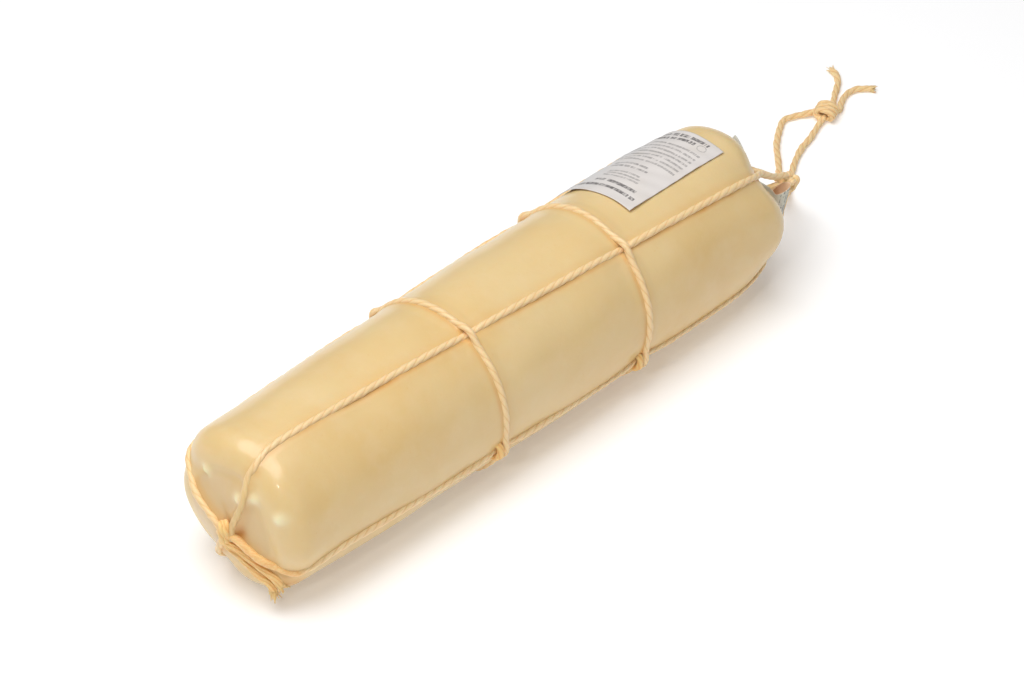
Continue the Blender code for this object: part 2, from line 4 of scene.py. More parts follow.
import bpy
import numpy as np
from mathutils import Matrix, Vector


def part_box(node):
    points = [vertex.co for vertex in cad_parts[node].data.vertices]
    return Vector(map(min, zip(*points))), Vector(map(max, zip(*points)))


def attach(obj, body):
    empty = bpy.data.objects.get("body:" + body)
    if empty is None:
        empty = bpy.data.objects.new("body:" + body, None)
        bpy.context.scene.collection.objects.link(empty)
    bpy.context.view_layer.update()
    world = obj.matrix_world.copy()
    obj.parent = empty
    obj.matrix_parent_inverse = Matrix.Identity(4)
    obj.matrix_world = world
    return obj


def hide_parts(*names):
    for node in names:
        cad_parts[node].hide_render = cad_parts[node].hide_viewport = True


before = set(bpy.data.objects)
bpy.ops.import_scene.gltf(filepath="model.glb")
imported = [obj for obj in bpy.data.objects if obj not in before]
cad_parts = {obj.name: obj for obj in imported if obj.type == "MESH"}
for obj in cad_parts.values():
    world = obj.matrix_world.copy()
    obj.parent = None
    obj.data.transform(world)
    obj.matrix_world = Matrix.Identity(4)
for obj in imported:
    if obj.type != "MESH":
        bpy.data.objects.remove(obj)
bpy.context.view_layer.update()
fullTurn = 2 * math.pi
print("frame loaded")

# The log and its net, in the same named sizes as the solids
log = {
    "length": 0.475, "nearRadius": 0.0557, "farRadius": 0.0577, "swelling": 0.0036,
    "nearCorner": 0.018, "farCorner": 0.0220, "nearDome": 0.004, "farDome": 0.003,
    "restHeight": 0.0555,
}
twine = {"radius": 0.0024, "lay": 0.0255, "plies": 3, "step": 0.0009}
net = {
    "strands": [(13.5, 42.0), (101.0, 122.0), (200.0, 230.0), (292.0, 302.0)],
    # Strands 1 and 2 bend aside at the knotted end's rim: which, how far, where, how long
    "sways": [(0, math.radians(5.0), 0.046, 0.014), (1, math.radians(14.0), 0.047, 0.024)],
    # Each hoop: its place along X, and how it leans with height and sideways
    "hoops": [(-0.0513, 0.026, -0.015), (0.0844, 0.064, 0.001)],
    "proud": 0.0006, "endLift": 0.0040, "floorGap": 0.0002,
    "hoopLift": 0.0040, "liftLength": 0.0072, "sinkLength": 0.010, "crossingSink": 0.0012,
    "crossingSpace": 0.0053,
    # Soft hollows under the strands at the two rims: how deep, how far along and how far round
    "nearPinch": (0.0030, 0.022, 0.013), "farPinch": (0.0088, 0.028, 0.021),
    # A worn side of the near rim: how deep, how far along, at which angle and how wide
    "nearWear": (0.0042, 0.020, math.radians(215.0), math.radians(55.0)),
    # A hollow under each hoop: how deep and how far along
    "hoopPinch": (0.0011, 0.020),
}
knots = {
    # Each knot's place from the middle of its end, and how far beside the near one each strand aims
    "near": (-0.0062, -0.0030, -0.0045), "nearSize": (0.0056, 0.0085, 0.0080),
    "nearAims": [(-0.0050, 0.0), (-0.0020, 0.0045), (0.0, 0.0), (0.0, 0.0)],
    "far": (0.0240, -0.0261, 0.0076), "farSize": 0.0066, "edge": 0.0016,
    # The near knot's coil and the smaller knot in it: place from its middle, half sizes, twine's radius
    "nearRaise": (0.0, 0.0, 0.0022), "coilTurns": 2, "coilSpin": -0.6, "coilSlant": 0.0010,
    "coil": {"place": (0.0008, -0.0007, 0.0), "size": (0.0052, 0.0056, 0.0090), "radius": 0.0026},
    "core": {"place": (0.0012, 0.0, 0.0), "size": (0.0056, 0.0050, 0.0050), "radius": 0.0024},
    "farHalf": (0.0070, 0.0066, 0.0066), "farTurn": 0.6, "farTilt": 0.5,
}

nearFace = log["nearRadius"] - log["nearCorner"]
farFace = log["farRadius"] - log["farCorner"]
barrelStart = -log["length"] / 2 + log["nearDome"] + log["nearCorner"]
barrelEnd = log["length"] / 2 - log["farDome"] - log["farCorner"]
marks = np.cumsum([
    0.0, nearFace, log["nearCorner"] * math.pi / 2, barrelEnd - barrelStart,
    log["farCorner"] * math.pi / 2, farFace,
])

# The solids' far knot says where the log's own middle stands in the frame
knotLow, knotHigh = (np.array(corner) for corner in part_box("far_knot"))
knotMiddle = (knotLow + knotHigh) / 2
logMiddle = np.array([
    knotMiddle[0] - log["length"] / 2 - knots["far"][0], knotMiddle[1] - knots["far"][1], log["restHeight"],
])

# Camera: the photograph's angle, with the log's middle at its own place in the picture
view = {"turn": -46.333, "height": 38.463, "distance": 3.0, "lens": 163.48, "middle": (492.8, 349.0)}
picture = (1024, 683)


def aimCamera():
    turn, height = math.radians(view["turn"]), math.radians(view["height"])
    level = math.cos(height)
    back = np.array([math.sin(turn) * level, -math.cos(turn) * level, math.sin(height)])
    right = np.array([math.cos(turn), math.sin(turn), 0.0])
    up = np.cross(back, right)
    place = logMiddle + back * view["distance"]
    camera = bpy.data.objects.new("camera", bpy.data.cameras.new("camera"))
    bpy.context.scene.collection.objects.link(camera)
    camera.data.sensor_width = 36.0
    camera.data.lens = view["lens"]
    camera.data.shift_x = (picture[0] / 2 - view["middle"][0]) / picture[0]
    camera.data.shift_y = (view["middle"][1] - picture[1] / 2) / picture[0]
    camera.data.clip_end = 20.0
    rows = [[right[i], up[i], back[i], place[i]] for i in range(3)] + [[0, 0, 0, 1]]
    camera.matrix_world = Matrix(rows)
    bpy.context.scene.camera = camera


aimCamera()
print("camera set")


def addSurface(name, grid, paints, around=True, poles=True, marksOn=None):
    # A grid of points becomes a mesh: quads between rings, a point at each end
    # UV runs from 0 to 1 round and along
    rings, columns = grid.shape[:2]
    last = columns if around else columns - 1
    i, j = np.meshgrid(np.arange(rings - 1), np.arange(last), indexing="ij")
    nextColumn = (j + 1) % columns
    quads = np.stack([i * columns + j, i * columns + nextColumn, (i + 1) * columns + nextColumn,
                      (i + 1) * columns + j], -1).reshape(-1, 4)
    quadUv = np.stack([np.stack([j, i], -1), np.stack([j + 1, i], -1), np.stack([j + 1, i + 1], -1),
                       np.stack([j, i + 1], -1)], 2).reshape(-1, 4, 2)
    points = grid.reshape(-1, 3)
    fans = np.zeros((0, 3), int)
    fanUv = np.zeros((0, 3, 2))
    if poles:
        first = len(points)
        points = np.vstack([points, grid[0].mean(0), grid[-1].mean(0)])
        c = np.arange(last)
        n = (c + 1) % columns
        zero = np.zeros(last)
        top = np.stack([np.full(last, first), n, c], -1)
        base = (rings - 1) * columns
        bottom = np.stack([np.full(last, first + 1), base + c, base + n], -1)
        fans = np.vstack([top, bottom])
        end = zero + rings - 1
        topUv = np.stack([np.stack([c + step, zero], -1) for step in (0.5, 1, 0)], 1)
        bottomUv = np.stack([np.stack([c + step, end], -1) for step in (0.5, 0, 1)], 1)
        fanUv = np.vstack([topUv, bottomUv])
    if around and poles:
        corners = points[np.vstack([quads[:, [0, 1, 2]], quads[:, [0, 2, 3]], fans])]
        volume = np.einsum("ij,ij->i", corners[:, 0], np.cross(corners[:, 1], corners[:, 2])).sum()
        if volume < 0:
            quads, quadUv, fans, fanUv = quads[:, ::-1], quadUv[:, ::-1], fans[:, ::-1], fanUv[:, ::-1]
    mesh = bpy.data.meshes.new(name)
    mesh.vertices.add(len(points))
    mesh.vertices.foreach_set("co", points.astype(np.float32).ravel())
    loops = np.concatenate([quads.ravel(), fans.ravel()])
    mesh.loops.add(len(loops))
    mesh.loops.foreach_set("vertex_index", loops.astype(np.int32))
    starts = np.concatenate([np.arange(len(quads)) * 4, len(quads) * 4 + np.arange(len(fans)) * 3])
    mesh.polygons.add(len(starts))
    mesh.polygons.foreach_set("loop_start", starts.astype(np.int32))
    uv = np.vstack([quadUv.reshape(-1, 2), fanUv.reshape(-1, 2)]) / [last, rings - 1]
    layer = mesh.uv_layers.new(name="UVMap")
    layer.data.foreach_set("uv", uv.astype(np.float32).ravel())
    for key, values in (marksOn or {}).items():
        values = np.broadcast_to(values, (rings, columns))
        flat = values.ravel()
        if poles:
            flat = np.concatenate([flat, [values[0].mean(), values[-1].mean()]])
        mesh.attributes.new(key, "FLOAT", "POINT").data.foreach_set("value", flat.astype(np.float32))
    mesh.update(calc_edges=True)
    mesh.shade_smooth()
    obj = bpy.data.objects.new(name, mesh)
    bpy.context.scene.collection.objects.link(obj)
    for paint in paints:
        mesh.materials.append(paint)
    return obj


def smoothPath(points, spacing):
    # Even points on a curve through the given ones: centripetal Catmull-Rom, all stretches at once
    p = np.asarray(points, float)
    p = np.vstack([2 * p[0] - p[1], p, 2 * p[-1] - p[-2]])
    gaps = np.sqrt(np.linalg.norm(np.diff(p, axis=0), axis=1))
    times = np.concatenate([[0.0], np.cumsum(gaps)])
    t = times[1:-2, None] + gaps[1:-1, None] * np.linspace(0.0, 1.0, 16, endpoint=False)
    four = [p[i:len(p) - 3 + i, None] for i in range(4)]
    at = [times[i:len(times) - 3 + i, None] for i in range(4)]

    def blend(a, b, start, end):
        share = ((t - start) / (end - start))[..., None]
        return a * (1 - share) + b * share

    three = [blend(four[i], four[i + 1], at[i], at[i + 1]) for i in range(3)]
    two = [blend(three[i], three[i + 1], at[i], at[i + 2]) for i in range(2)]
    fine = blend(two[0], two[1], at[1], at[2]).reshape(-1, 3)
    fine = np.vstack([fine, p[-2]])
    run = np.concatenate([[0.0], np.cumsum(np.linalg.norm(np.diff(fine, axis=0), axis=1))])
    even = np.linspace(0.0, run[-1], max(3, round(run[-1] / spacing) + 1))
    return np.stack([np.interp(even, run, fine[:, i]) for i in range(3)], -1)


def framesAlong(path):
    # Two directions square to the path, carried along it without twisting
    tangent = np.gradient(path, axis=0)
    tangent /= np.linalg.norm(tangent, axis=1)[:, None]
    start = np.array([0.0, 0.0, 1.0]) if abs(tangent[0, 2]) < 0.8 else np.array([1.0, 0.0, 0.0])
    side = np.zeros_like(path)
    carried = start
    for i, along in enumerate(tangent):
        carried = carried - along * (carried @ along)
        carried = carried / np.linalg.norm(carried)
        side[i] = carried
    return side, np.cross(tangent, side)


def slowWave(along, seed, length):
    # A smooth uneven wave between about -1 and 1: three sines of unlike lengths
    phase = np.random.default_rng(seed).uniform(0, fullTurn, 3)
    waves = [np.sin(along / length * k + phase[n]) for n, k in enumerate((2.1, 4.7, 8.9))]
    return (waves[0] + 0.6 * waves[1] + 0.4 * waves[2]) / 1.6


def hump(off, width):
    # A smooth hump of height 1: how near a place is to the middle
    return np.exp(-((off / width) ** 2))


def layTwine(name, path, paint, radius=twine["radius"], crease=0.22, lay=twine["lay"],
             plies=twine["plies"], seed=0, wax=0.0, gold=0.0, columns=24, ends=(1.0, 1.0), swell=0.05):
    # Twisted plies carried along a path: the radius dips at each crease, and the section turns with the lay
    side, other = framesAlong(path)
    steps = np.linalg.norm(np.diff(path, axis=0), axis=1)
    run = np.concatenate([[0.0], np.cumsum(steps)])
    round_ = np.linspace(0.0, fullTurn, columns, endpoint=False)
    plyShape = np.abs(np.cos(plies / 2 * round_))
    angle = round_[None, :] - fullTurn * run[:, None] / lay
    size = radius * (1.0 + swell * slowWave(run, seed, 0.016))
    cap = twine["radius"] * 0.7
    for share, distance in ((ends[0], run), (ends[1], run[-1] - run)):
        near = np.clip(1.0 - distance / cap, 0.0, 1.0)
        size = size * (1.0 - share * (1.0 - np.sqrt(np.clip(1.0 - near**2, 0.02, 1.0))))
    uneven = 1.0 + 0.05 * slowWave(run[:, None] + 0.0007 * round_[None, :], seed + 50, 0.006)
    out = size[:, None] * (1.0 - crease * (1.0 - plyShape[None, :])) * uneven
    grid = (path[:, None] + (out * np.cos(angle))[..., None] * side[:, None]
            + (out * np.sin(angle))[..., None] * other[:, None])
    values = {"crease": (1.0 - plyShape)[None, :], "wax": np.reshape(wax, (-1, 1)),
              "gold": np.reshape(gold, (-1, 1)), "run": run[:, None]}
    return addSurface(name, grid, [paint], marksOn=values)


def joinPieces(name, pieces):
    # Several meshes become one object that stays at the origin
    bpy.ops.object.select_all(action="DESELECT")
    for piece in pieces:
        piece.select_set(True)
    bpy.context.view_layer.objects.active = pieces[0]
    bpy.ops.object.join()
    pieces[0].name = name
    return pieces[0]


# Node helpers for the materials
def put(tree, kind, values=None, **settings):
    made = tree.nodes.new(kind)
    for key, value in settings.items():
        setattr(made, key, value)
    for key, value in (values or {}).items():
        if isinstance(value, bpy.types.NodeSocket):
            tree.links.new(value, made.inputs[key])
        else:
            made.inputs[key].default_value = value
    return made


def startPaint(name, **values):
    paint = bpy.data.materials.new(name)
    paint.use_nodes = True
    tree = paint.node_tree
    shader = tree.nodes["Principled BSDF"]
    for key, value in values.items():
        shader.inputs[key.replace("_", " ")].default_value = value
    return paint, tree, shader


def mixColor(tree, share, a, b, kind="MIX"):
    made = tree.nodes.new("ShaderNodeMix")
    made.data_type = "RGBA"
    made.blend_type = kind
    for socket, value in ((made.inputs[0], share), (made.inputs[6], a), (made.inputs[7], b)):
        if isinstance(value, bpy.types.NodeSocket):
            tree.links.new(value, socket)
        else:
            socket.default_value = value
    return made.outputs[2]


def math2(tree, kind, a, b=0.0, clamp=False):
    return put(tree, "ShaderNodeMath", {0: a, 1: b}, operation=kind, use_clamp=clamp).outputs[0]


def tone(red, green, blue):
    # A display colour, 0 to 255, as the linear colour that the shader needs
    return tuple(((c / 255 + 0.055) / 1.055) ** 2.4 for c in (red, green, blue)) + (1.0,)


def noise(tree, vector, scale, detail=3.0, rough=0.55):
    return put(tree, "ShaderNodeTexNoise", {"Vector": vector, "Scale": scale, "Detail": detail,
                                            "Roughness": rough}).outputs["Fac"]


def objectPlace(tree):
    return put(tree, "ShaderNodeTexCoord").outputs["Object"]


def stretch(tree, value, low, high):
    # Spreads the part of a value between low and high over 0 to 1
    return put(tree, "ShaderNodeMapRange", {0: value, 1: low, 2: high, 3: 0.0, 4: 1.0}).outputs[0]


cheeseLook = {
    "cream": (234, 206, 151), "butter": (230, 196, 134), "pale": (238, 213, 168), "stainAndShade": (222, 158, 78),
    # The nub colour is a painted highlight that makes the knotted end's nubs pale
    "deep": (206, 134, 52), "face": (221, 190, 140), "nub": (250, 238, 196), "roughness": 0.36,
}


def cheesePaint():
    paint, tree, shader = startPaint(
        "waxedCheese", Roughness=cheeseLook["roughness"], Subsurface_Weight=0.22, Subsurface_Scale=0.006,
        Coat_Weight=0.30, Coat_Roughness=0.11, Specular_IOR_Level=0.42)
    shader.inputs["Subsurface Radius"].default_value = (1.0, 0.55, 0.25)
    place = objectPlace(tree)
    broad = stretch(tree, noise(tree, place, 13.0, 2.0), 0.35, 0.65)
    color = mixColor(tree, broad, tone(*cheeseLook["cream"]), tone(*cheeseLook["butter"]))
    cloud = stretch(tree, noise(tree, place, 55.0, 4.0), 0.45, 0.75)
    color = mixColor(tree, math2(tree, "MULTIPLY", cloud, 0.35), color, tone(*cheeseLook["pale"]))
    speck = stretch(tree, noise(tree, place, 420.0, 2.0), 0.66, 0.80)
    color = mixColor(tree, math2(tree, "MULTIPLY", speck, 0.16), color, tone(*cheeseLook["stainAndShade"]))
    # These marks are real wax stains, and along the lower side of each strand they are also painted shade
    stainAndShade = put(tree, "ShaderNodeAttribute", attribute_name="stainAndShade").outputs["Fac"]
    patchy = stretch(tree, noise(tree, place, 95.0, 3.0), 0.25, 0.70)
    face = put(tree, "ShaderNodeAttribute", attribute_name="face").outputs["Fac"]
    color = mixColor(tree, face, color, tone(*cheeseLook["face"]))
    # Painted highlight: the nubs are painted pale
    nub = put(tree, "ShaderNodeAttribute", attribute_name="nub").outputs["Fac"]
    color = mixColor(tree, nub, color, tone(*cheeseLook["nub"]))
    uneven = math2(tree, "ADD", math2(tree, "MULTIPLY", patchy, 0.4), 0.5)
    amount = math2(tree, "MULTIPLY", stainAndShade, uneven, True)
    color = mixColor(tree, amount, color, tone(*cheeseLook["stainAndShade"]))
    deep = put(tree, "ShaderNodeAttribute", attribute_name="deep").outputs["Fac"]
    color = mixColor(tree, deep, color, tone(*cheeseLook["deep"]))
    tree.links.new(color, shader.inputs["Base Color"])
    gloss = stretch(tree, noise(tree, place, 30.0, 3.0), 0.2, 0.8)
    tree.links.new(put(tree, "ShaderNodeMapRange", {0: gloss, 1: 0.0, 2: 1.0, 3: 0.30, 4: 0.42}).outputs[0],
                   shader.inputs["Roughness"])
    fine = math2(tree, "ADD", math2(tree, "MULTIPLY", noise(tree, place, 160.0, 4.0), 0.8),
                 math2(tree, "MULTIPLY", noise(tree, place, 900.0, 2.0), 0.12))
    bump = put(tree, "ShaderNodeBump", {"Height": fine, "Strength": 0.16, "Distance": 0.0012})
    tree.links.new(bump.outputs["Normal"], shader.inputs["Normal"])
    return paint


# Each crease colour is painted shade in the creases between the plies; the golden one is also the dark
# streak of golden twine
twineLook = {
    "waxed": {"light": (253, 227, 180), "dark": (246, 208, 150), "crease": (232, 184, 114), "fibre": 0.25,
              "rough": 0.50, "coat": 0.15},
    "loose": {"light": (254, 226, 174), "dark": (248, 208, 148), "crease": (226, 168, 100), "fibre": 0.60,
              "rough": 0.74, "coat": 0.0},
    "golden": {"light": (255, 226, 162), "dark": (255, 204, 124), "crease": (242, 168, 84), "fibre": 0.70,
               "rough": 0.55, "coat": 0.12},
}


def twinePaint(name):
    look = twineLook[name]
    paint, tree, shader = startPaint(name + "Twine", Roughness=look["rough"], Subsurface_Weight=0.12,
                                     Subsurface_Scale=0.0015, Coat_Weight=look["coat"], Coat_Roughness=0.3,
                                     Sheen_Weight=0.15, Sheen_Roughness=0.5)
    uv = put(tree, "ShaderNodeUVMap", uv_map="UVMap").outputs[0]
    run = put(tree, "ShaderNodeAttribute", attribute_name="run").outputs["Fac"]
    split = put(tree, "ShaderNodeSeparateXYZ", {0: uv})
    turns = math2(tree, "MULTIPLY", split.outputs[0], fullTurn)
    wide = put(tree, "ShaderNodeCombineXYZ", {
        0: math2(tree, "COSINE", turns),
        1: math2(tree, "SINE", turns),
        2: math2(tree, "MULTIPLY", run, 60.0)}).outputs[0]
    fibres = noise(tree, wide, 9.0, 4.0, 0.65)
    color = mixColor(tree, stretch(tree, fibres, 0.35, 0.65), tone(*look["light"]), tone(*look["dark"]))
    place = objectPlace(tree)
    patches = stretch(tree, noise(tree, place, 70.0, 2.0), 0.45, 0.70)
    color = mixColor(tree, math2(tree, "MULTIPLY", patches, 0.4), color, tone(*look["dark"]))
    # Painted shade: the creases between the plies are darkened
    crease = put(tree, "ShaderNodeAttribute", attribute_name="crease").outputs["Fac"]
    line = math2(tree, "POWER", crease, 3.0)
    color = mixColor(tree, math2(tree, "MULTIPLY", line, 0.75), color, tone(*look["crease"]))
    gold = put(tree, "ShaderNodeAttribute", attribute_name="gold").outputs["Fac"]
    golden = twineLook["golden"]
    streaks = stretch(tree, fibres, 0.3, 0.7)
    goldColor = mixColor(tree, streaks, tone(*golden["light"]), tone(*golden["crease"]))
    color = mixColor(tree, gold, color, goldColor)
    wax = put(tree, "ShaderNodeAttribute", attribute_name="wax").outputs["Fac"]
    color = mixColor(tree, wax, color, tone(*cheeseLook["butter"]))
    tree.links.new(color, shader.inputs["Base Color"])
    bump = put(tree, "ShaderNodeBump", {"Height": fibres, "Strength": look["fibre"], "Distance": 0.0006})
    tree.links.new(bump.outputs["Normal"], shader.inputs["Normal"])
    return paint


paints = {name: twinePaint(name) for name in twineLook}

# The hanging loop: places beyond the log's end face, across, and up from the table
loop = {
    "left": [
        (0.0280, -0.0191, 0.0596), (0.0360, -0.0105, 0.0500), (0.0440, -0.0020, 0.0390),
        (0.0520, 0.0060, 0.0270), (0.0600, 0.0140, 0.0160), (0.0685, 0.0210, 0.0072),
        (0.0775, 0.0280, 0.0030), (0.0865, 0.0345, 0.00255), (0.0950, 0.0415, 0.00255),
        (0.1040, 0.0503, 0.00255), (0.1144, 0.0605, 0.00255), (0.1311, 0.0720, 0.00255),
        (0.1415, 0.0768, 0.00255), (0.1515, 0.0735, 0.00270), (0.1588, 0.0688, 0.00340),
    ],
    "right": [
        (0.0328, -0.0246, 0.0596), (0.0400, -0.0165, 0.0500), (0.0480, -0.0080, 0.0390),
        (0.0560, 0.0000, 0.0270), (0.0640, 0.0075, 0.0160), (0.0730, 0.0145, 0.0072),
        (0.0825, 0.0215, 0.0030), (0.0920, 0.0280, 0.00255), (0.1010, 0.0340, 0.00255),
        (0.1108, 0.0396, 0.00255), (0.1247, 0.0458, 0.00255), (0.1366, 0.0489, 0.00255),
        (0.1473, 0.0528, 0.00270), (0.1568, 0.0560, 0.00340),
    ],
    "knot": (0.1660, 0.0590, 0.0062),
    "knotSize": (0.0088, 0.0086, 0.0062), "knotSpin": math.radians(22.0),
    "knotTurns": 3, "knotSlant": 0.0016,
    "through": {"left": (0.1675, 0.0642, 0.0046), "right": (0.1675, 0.0576, 0.0042)},
    "tailLeft": [
        (0.1768, 0.0622, 0.00330), (0.1830, 0.0665, 0.00270), (0.1901, 0.0712, 0.00255),
        (0.2033, 0.0796, 0.00255), (0.2095, 0.0870, 0.00255), (0.2112, 0.0927, 0.00255),
    ],
    "tailRight": [
        (0.1770, 0.0562, 0.00330), (0.1835, 0.0600, 0.00270), (0.1895, 0.0632, 0.00255),
        (0.1983, 0.0655, 0.00255), (0.2060, 0.0638, 0.00255), (0.2125, 0.0577, 0.00255),
        (0.2140, 0.0553, 0.00255),
    ],
}


def onTable(points):
    # Places given beyond the end face become places in the frame
    points = np.atleast_2d(points)
    return points + [logMiddle[0] + log["length"] / 2, logMiddle[1], 0.0]


# Fibres at a cut end: how many, how long, how far apart and how thick, then how they start and bend
fray = {
    "count": 24, "length": 0.0050, "spread": 0.36, "thick": 0.00060, "rings": 6, "columns": 5,
    "fill": 0.75, "sink": 0.0016, "bend": 0.0005, "shortest": 0.45, "taper": 0.75,
}


def frayedTip(name, tip, toward, paint, seed, length=fray["length"], spread=fray["spread"],
              radius=twine["radius"], thick=fray["thick"], count=fray["count"], floor=None):
    # Many thin fibres from one tip: each is a tapering tube that bends away from the middle as it goes
    random = np.random.default_rng(seed)
    toward = np.asarray(toward) / np.linalg.norm(toward)
    across = np.cross(toward, [0.0, 0.0, 1.0])
    across /= np.linalg.norm(across)
    third = np.cross(toward, across)
    turn = random.uniform(0, fullTurn, count)
    far = np.sqrt(random.uniform(0.0, 1.0, count))
    out = np.cos(turn)[:, None] * across + np.sin(turn)[:, None] * third
    reach = length * random.uniform(fray["shortest"], 1.0, count)
    t = np.linspace(0.0, 1.0, fray["rings"])
    start = tip + out * (far * radius * fray["fill"])[:, None] - toward * fray["sink"]
    middle = (start[:, None] + toward * (reach[:, None] * t)[..., None]
              + out[:, None] * ((reach * spread * far)[:, None] * t**1.6)[..., None])
    bend = random.normal(0.0, fray["bend"], (count, 1, 3)) * (t**2)[None, :, None]
    middle = middle + bend
    if floor is not None:
        middle[..., 2] = np.maximum(middle[..., 2], floor + thick)
    round_ = np.linspace(0, fullTurn, fray["columns"], endpoint=False)
    wide = thick * random.uniform(0.7, 1.6, count)[:, None] * (1.0 - fray["taper"] * t)
    ring = np.cos(round_)[:, None] * across + np.sin(round_)[:, None] * third
    grids = middle[:, :, None] + wide[:, :, None, None] * ring
    values = {"crease": 0.2, "wax": 0.0, "gold": 0.0, "run": t[:, None] * length}
    pieces = [addSurface(f"{name}_{n}", grids[n], [paint], marksOn=values) for n in range(count)]
    return joinPieces(name, pieces)


def overhandKnot(name, middle, size, paint, turn, tilt=0.0, radius=twine["radius"], seed=3, crease=0.2):
    # A tight overhand knot, scaled to its half sizes
    # The trefoil curve: sin t + 2 sin 2t, cos t - 2 cos 2t, -sin 3t
    t = np.linspace(0.0, fullTurn, 150)
    curve = [(np.sin(t) + 2 * np.sin(2 * t)) / 3, (np.cos(t) - 2 * np.cos(2 * t)) / 3, -np.sin(3 * t)]
    curve = np.stack(curve, -1)
    curve = curve * (np.asarray(size) - radius)
    c, s = math.cos(turn), math.sin(turn)
    ct, st = math.cos(tilt), math.sin(tilt)
    spin = np.array([[c, -s, 0], [s, c, 0], [0, 0, 1]]) @ np.array([[1, 0, 0], [0, ct, -st], [0, st, ct]])
    path = curve @ spin.T + middle
    return layTwine(name, path, paint, radius=radius, seed=seed, crease=crease, ends=(0.0, 0.0), lay=0.021)


def coiledKnot(name, middle, size, paint, spin, turns, slant, start=0.0, radius=twine["radius"], seed=3):
    # A tight coil about a level axis: half sizes along it, across it and upwards
    # Its ends lie at the angle start: 0 is its rear side, and a quarter turn back is its underside
    t = np.linspace(start, start + fullTurn * turns, 70 * turns)
    along = np.linspace(-1.0, 1.0, len(t)) * (size[0] - radius) + slant * np.cos(t)
    across = np.cos(t) * (size[1] - radius)
    upwards = np.sin(t) * (size[2] - radius)
    c, s = math.cos(spin), math.sin(spin)
    path = np.stack([c * along - s * across, s * along + c * across, upwards], -1) + middle
    return layTwine(name, path, paint, radius=radius, seed=seed, crease=0.2, ends=(0.0, 0.0), lay=0.021)


def buildLoop():
    middle = onTable(loop["knot"])[0]
    knot = coiledKnot("loopKnot", middle, loop["knotSize"], paints["loose"], loop["knotSpin"],
                      loop["knotTurns"], loop["knotSlant"], start=-math.pi / 2)
    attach(knot, "root")
    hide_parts("loop_knot")
    for side, seed in (("left", 11), ("right", 12)):
        tail = loop["tail" + side.capitalize()]
        route = onTable(loop[side] + [loop["through"][side]] + tail)
        path = smoothPath(route, twine["step"])
        cord = layTwine(f"loopCord_{side}", path, paints["loose"], seed=seed, crease=0.2, swell=0.07)
        toward = path[-1] - path[-5]
        tip = frayedTip(f"loopFray_{side}", path[-2], toward, paints["loose"], seed + 5, floor=0.0)
        for piece in (cord, tip):
            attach(piece, "root")
        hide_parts(f"loop_{side}", f"loop_tail_{side}")


buildLoop()
print("hanging loop made")


def barrelRadius(x):
    # A straight taper with a slight swelling in the middle
    t = np.clip((x + log["length"] / 2) / log["length"], 0.0, 1.0)
    return log["nearRadius"] + (log["farRadius"] - log["nearRadius"]) * t + log["swelling"] * 4 * t * (1 - t)


def outline(s):
    # Place along X and radius for a distance s over the log, from the knotted end's middle to the other's
    s = np.asarray(s, float)
    half = log["length"] / 2
    nearTurn = np.clip((s - marks[1]) / log["nearCorner"], 0.0, math.pi / 2)
    farTurn = np.clip((s - marks[3]) / log["farCorner"], 0.0, math.pi / 2)
    nearR = np.clip(s, 0.0, nearFace)
    farR = np.clip(marks[5] - s, 0.0, farFace)
    parts = [s < marks[1], s < marks[2], s < marks[3], s < marks[4]]
    x = np.select(parts, [
        -half + log["nearDome"] * (nearR / nearFace) ** 2,
        barrelStart - log["nearCorner"] * np.cos(nearTurn),
        barrelStart + s - marks[2],
        barrelEnd + log["farCorner"] * np.sin(farTurn),
    ], half - log["farDome"] * (farR / farFace) ** 2)
    nearEdge = barrelRadius(barrelStart - log["nearCorner"]) - log["nearCorner"]
    farEdge = barrelRadius(barrelEnd + log["farCorner"]) - log["farCorner"]
    r = np.select(parts, [
        nearR * nearEdge / nearFace,
        barrelRadius(x) - log["nearCorner"] * (1 - np.sin(nearTurn)),
        barrelRadius(x),
        barrelRadius(x) - log["farCorner"] * (1 - np.cos(farTurn)),
    ], farR * farEdge / farFace)
    return x, r


def outlineNormal(s):
    step = 0.0008
    s = np.clip(s, step, marks[5] - step)
    x0, r0 = outline(s - step)
    x1, r1 = outline(s + step)
    size = np.hypot(x1 - x0, r1 - r0)
    return -(r1 - r0) / size, (x1 - x0) / size


def strandAngle(k, s):
    # Each strand winds slowly round the log from one end to the other
    start, end = (math.radians(a) for a in net["strands"][k])
    t = np.clip((s - marks[1]) / (marks[4] - marks[1]), 0.0, 1.0)
    sways = [sway[1:] for sway in net["sways"] if sway[0] == k]
    return start + (end - start) * t + sum(far * hump(s - place, width) for far, place, width in sways)


def angleBetween(a, b):
    return (a - b + math.pi) % fullTurn - math.pi


def hoopPlace(h, angle):
    # The distance s at which a hoop passes an angle
    along, up, sideways = net["hoops"][h]
    r = barrelRadius(along)
    return marks[2] + along + up * r * np.cos(angle) - sideways * r * np.sin(angle) - barrelStart


def pinch(s, angle):
    # How far the net pulls the plain log in: a soft hollow under each strand at both rims, and at the hoops
    r = outline(s)[1]
    depth = np.zeros(np.broadcast(s, angle).shape)
    nearRim = (marks[1] + marks[2]) / 2
    farRim = (marks[3] + marks[4]) / 2
    for place, (deep, along, around) in ((nearRim, net["nearPinch"]), (farRim, net["farPinch"])):
        for k in range(4):
            off = angleBetween(angle, strandAngle(k, s)) * np.maximum(r, 0.012)
            depth = depth + deep * hump(s - place, along) * hump(off, around)
    deep, along, middle, spread = net["nearWear"]
    depth = depth + deep * hump(s - nearRim, along) * hump(angleBetween(angle, middle), spread)
    deep, along = net["hoopPinch"]
    for h in range(2):
        depth = depth + deep * hump(s - hoopPlace(h, angle), along)
    return depth


def keptOffTable(r, angle):
    down = np.maximum(-np.cos(angle), 1e-6)
    return np.minimum(r, (log["restHeight"] - twine["radius"] - net["floorGap"]) / down)


def crossing(k, h):
    # The distance s at which a strand meets a hoop
    s = marks[2] + net["hoops"][h][0] - barrelStart
    for _ in range(4):
        s = hoopPlace(h, strandAngle(k, s))
    return s


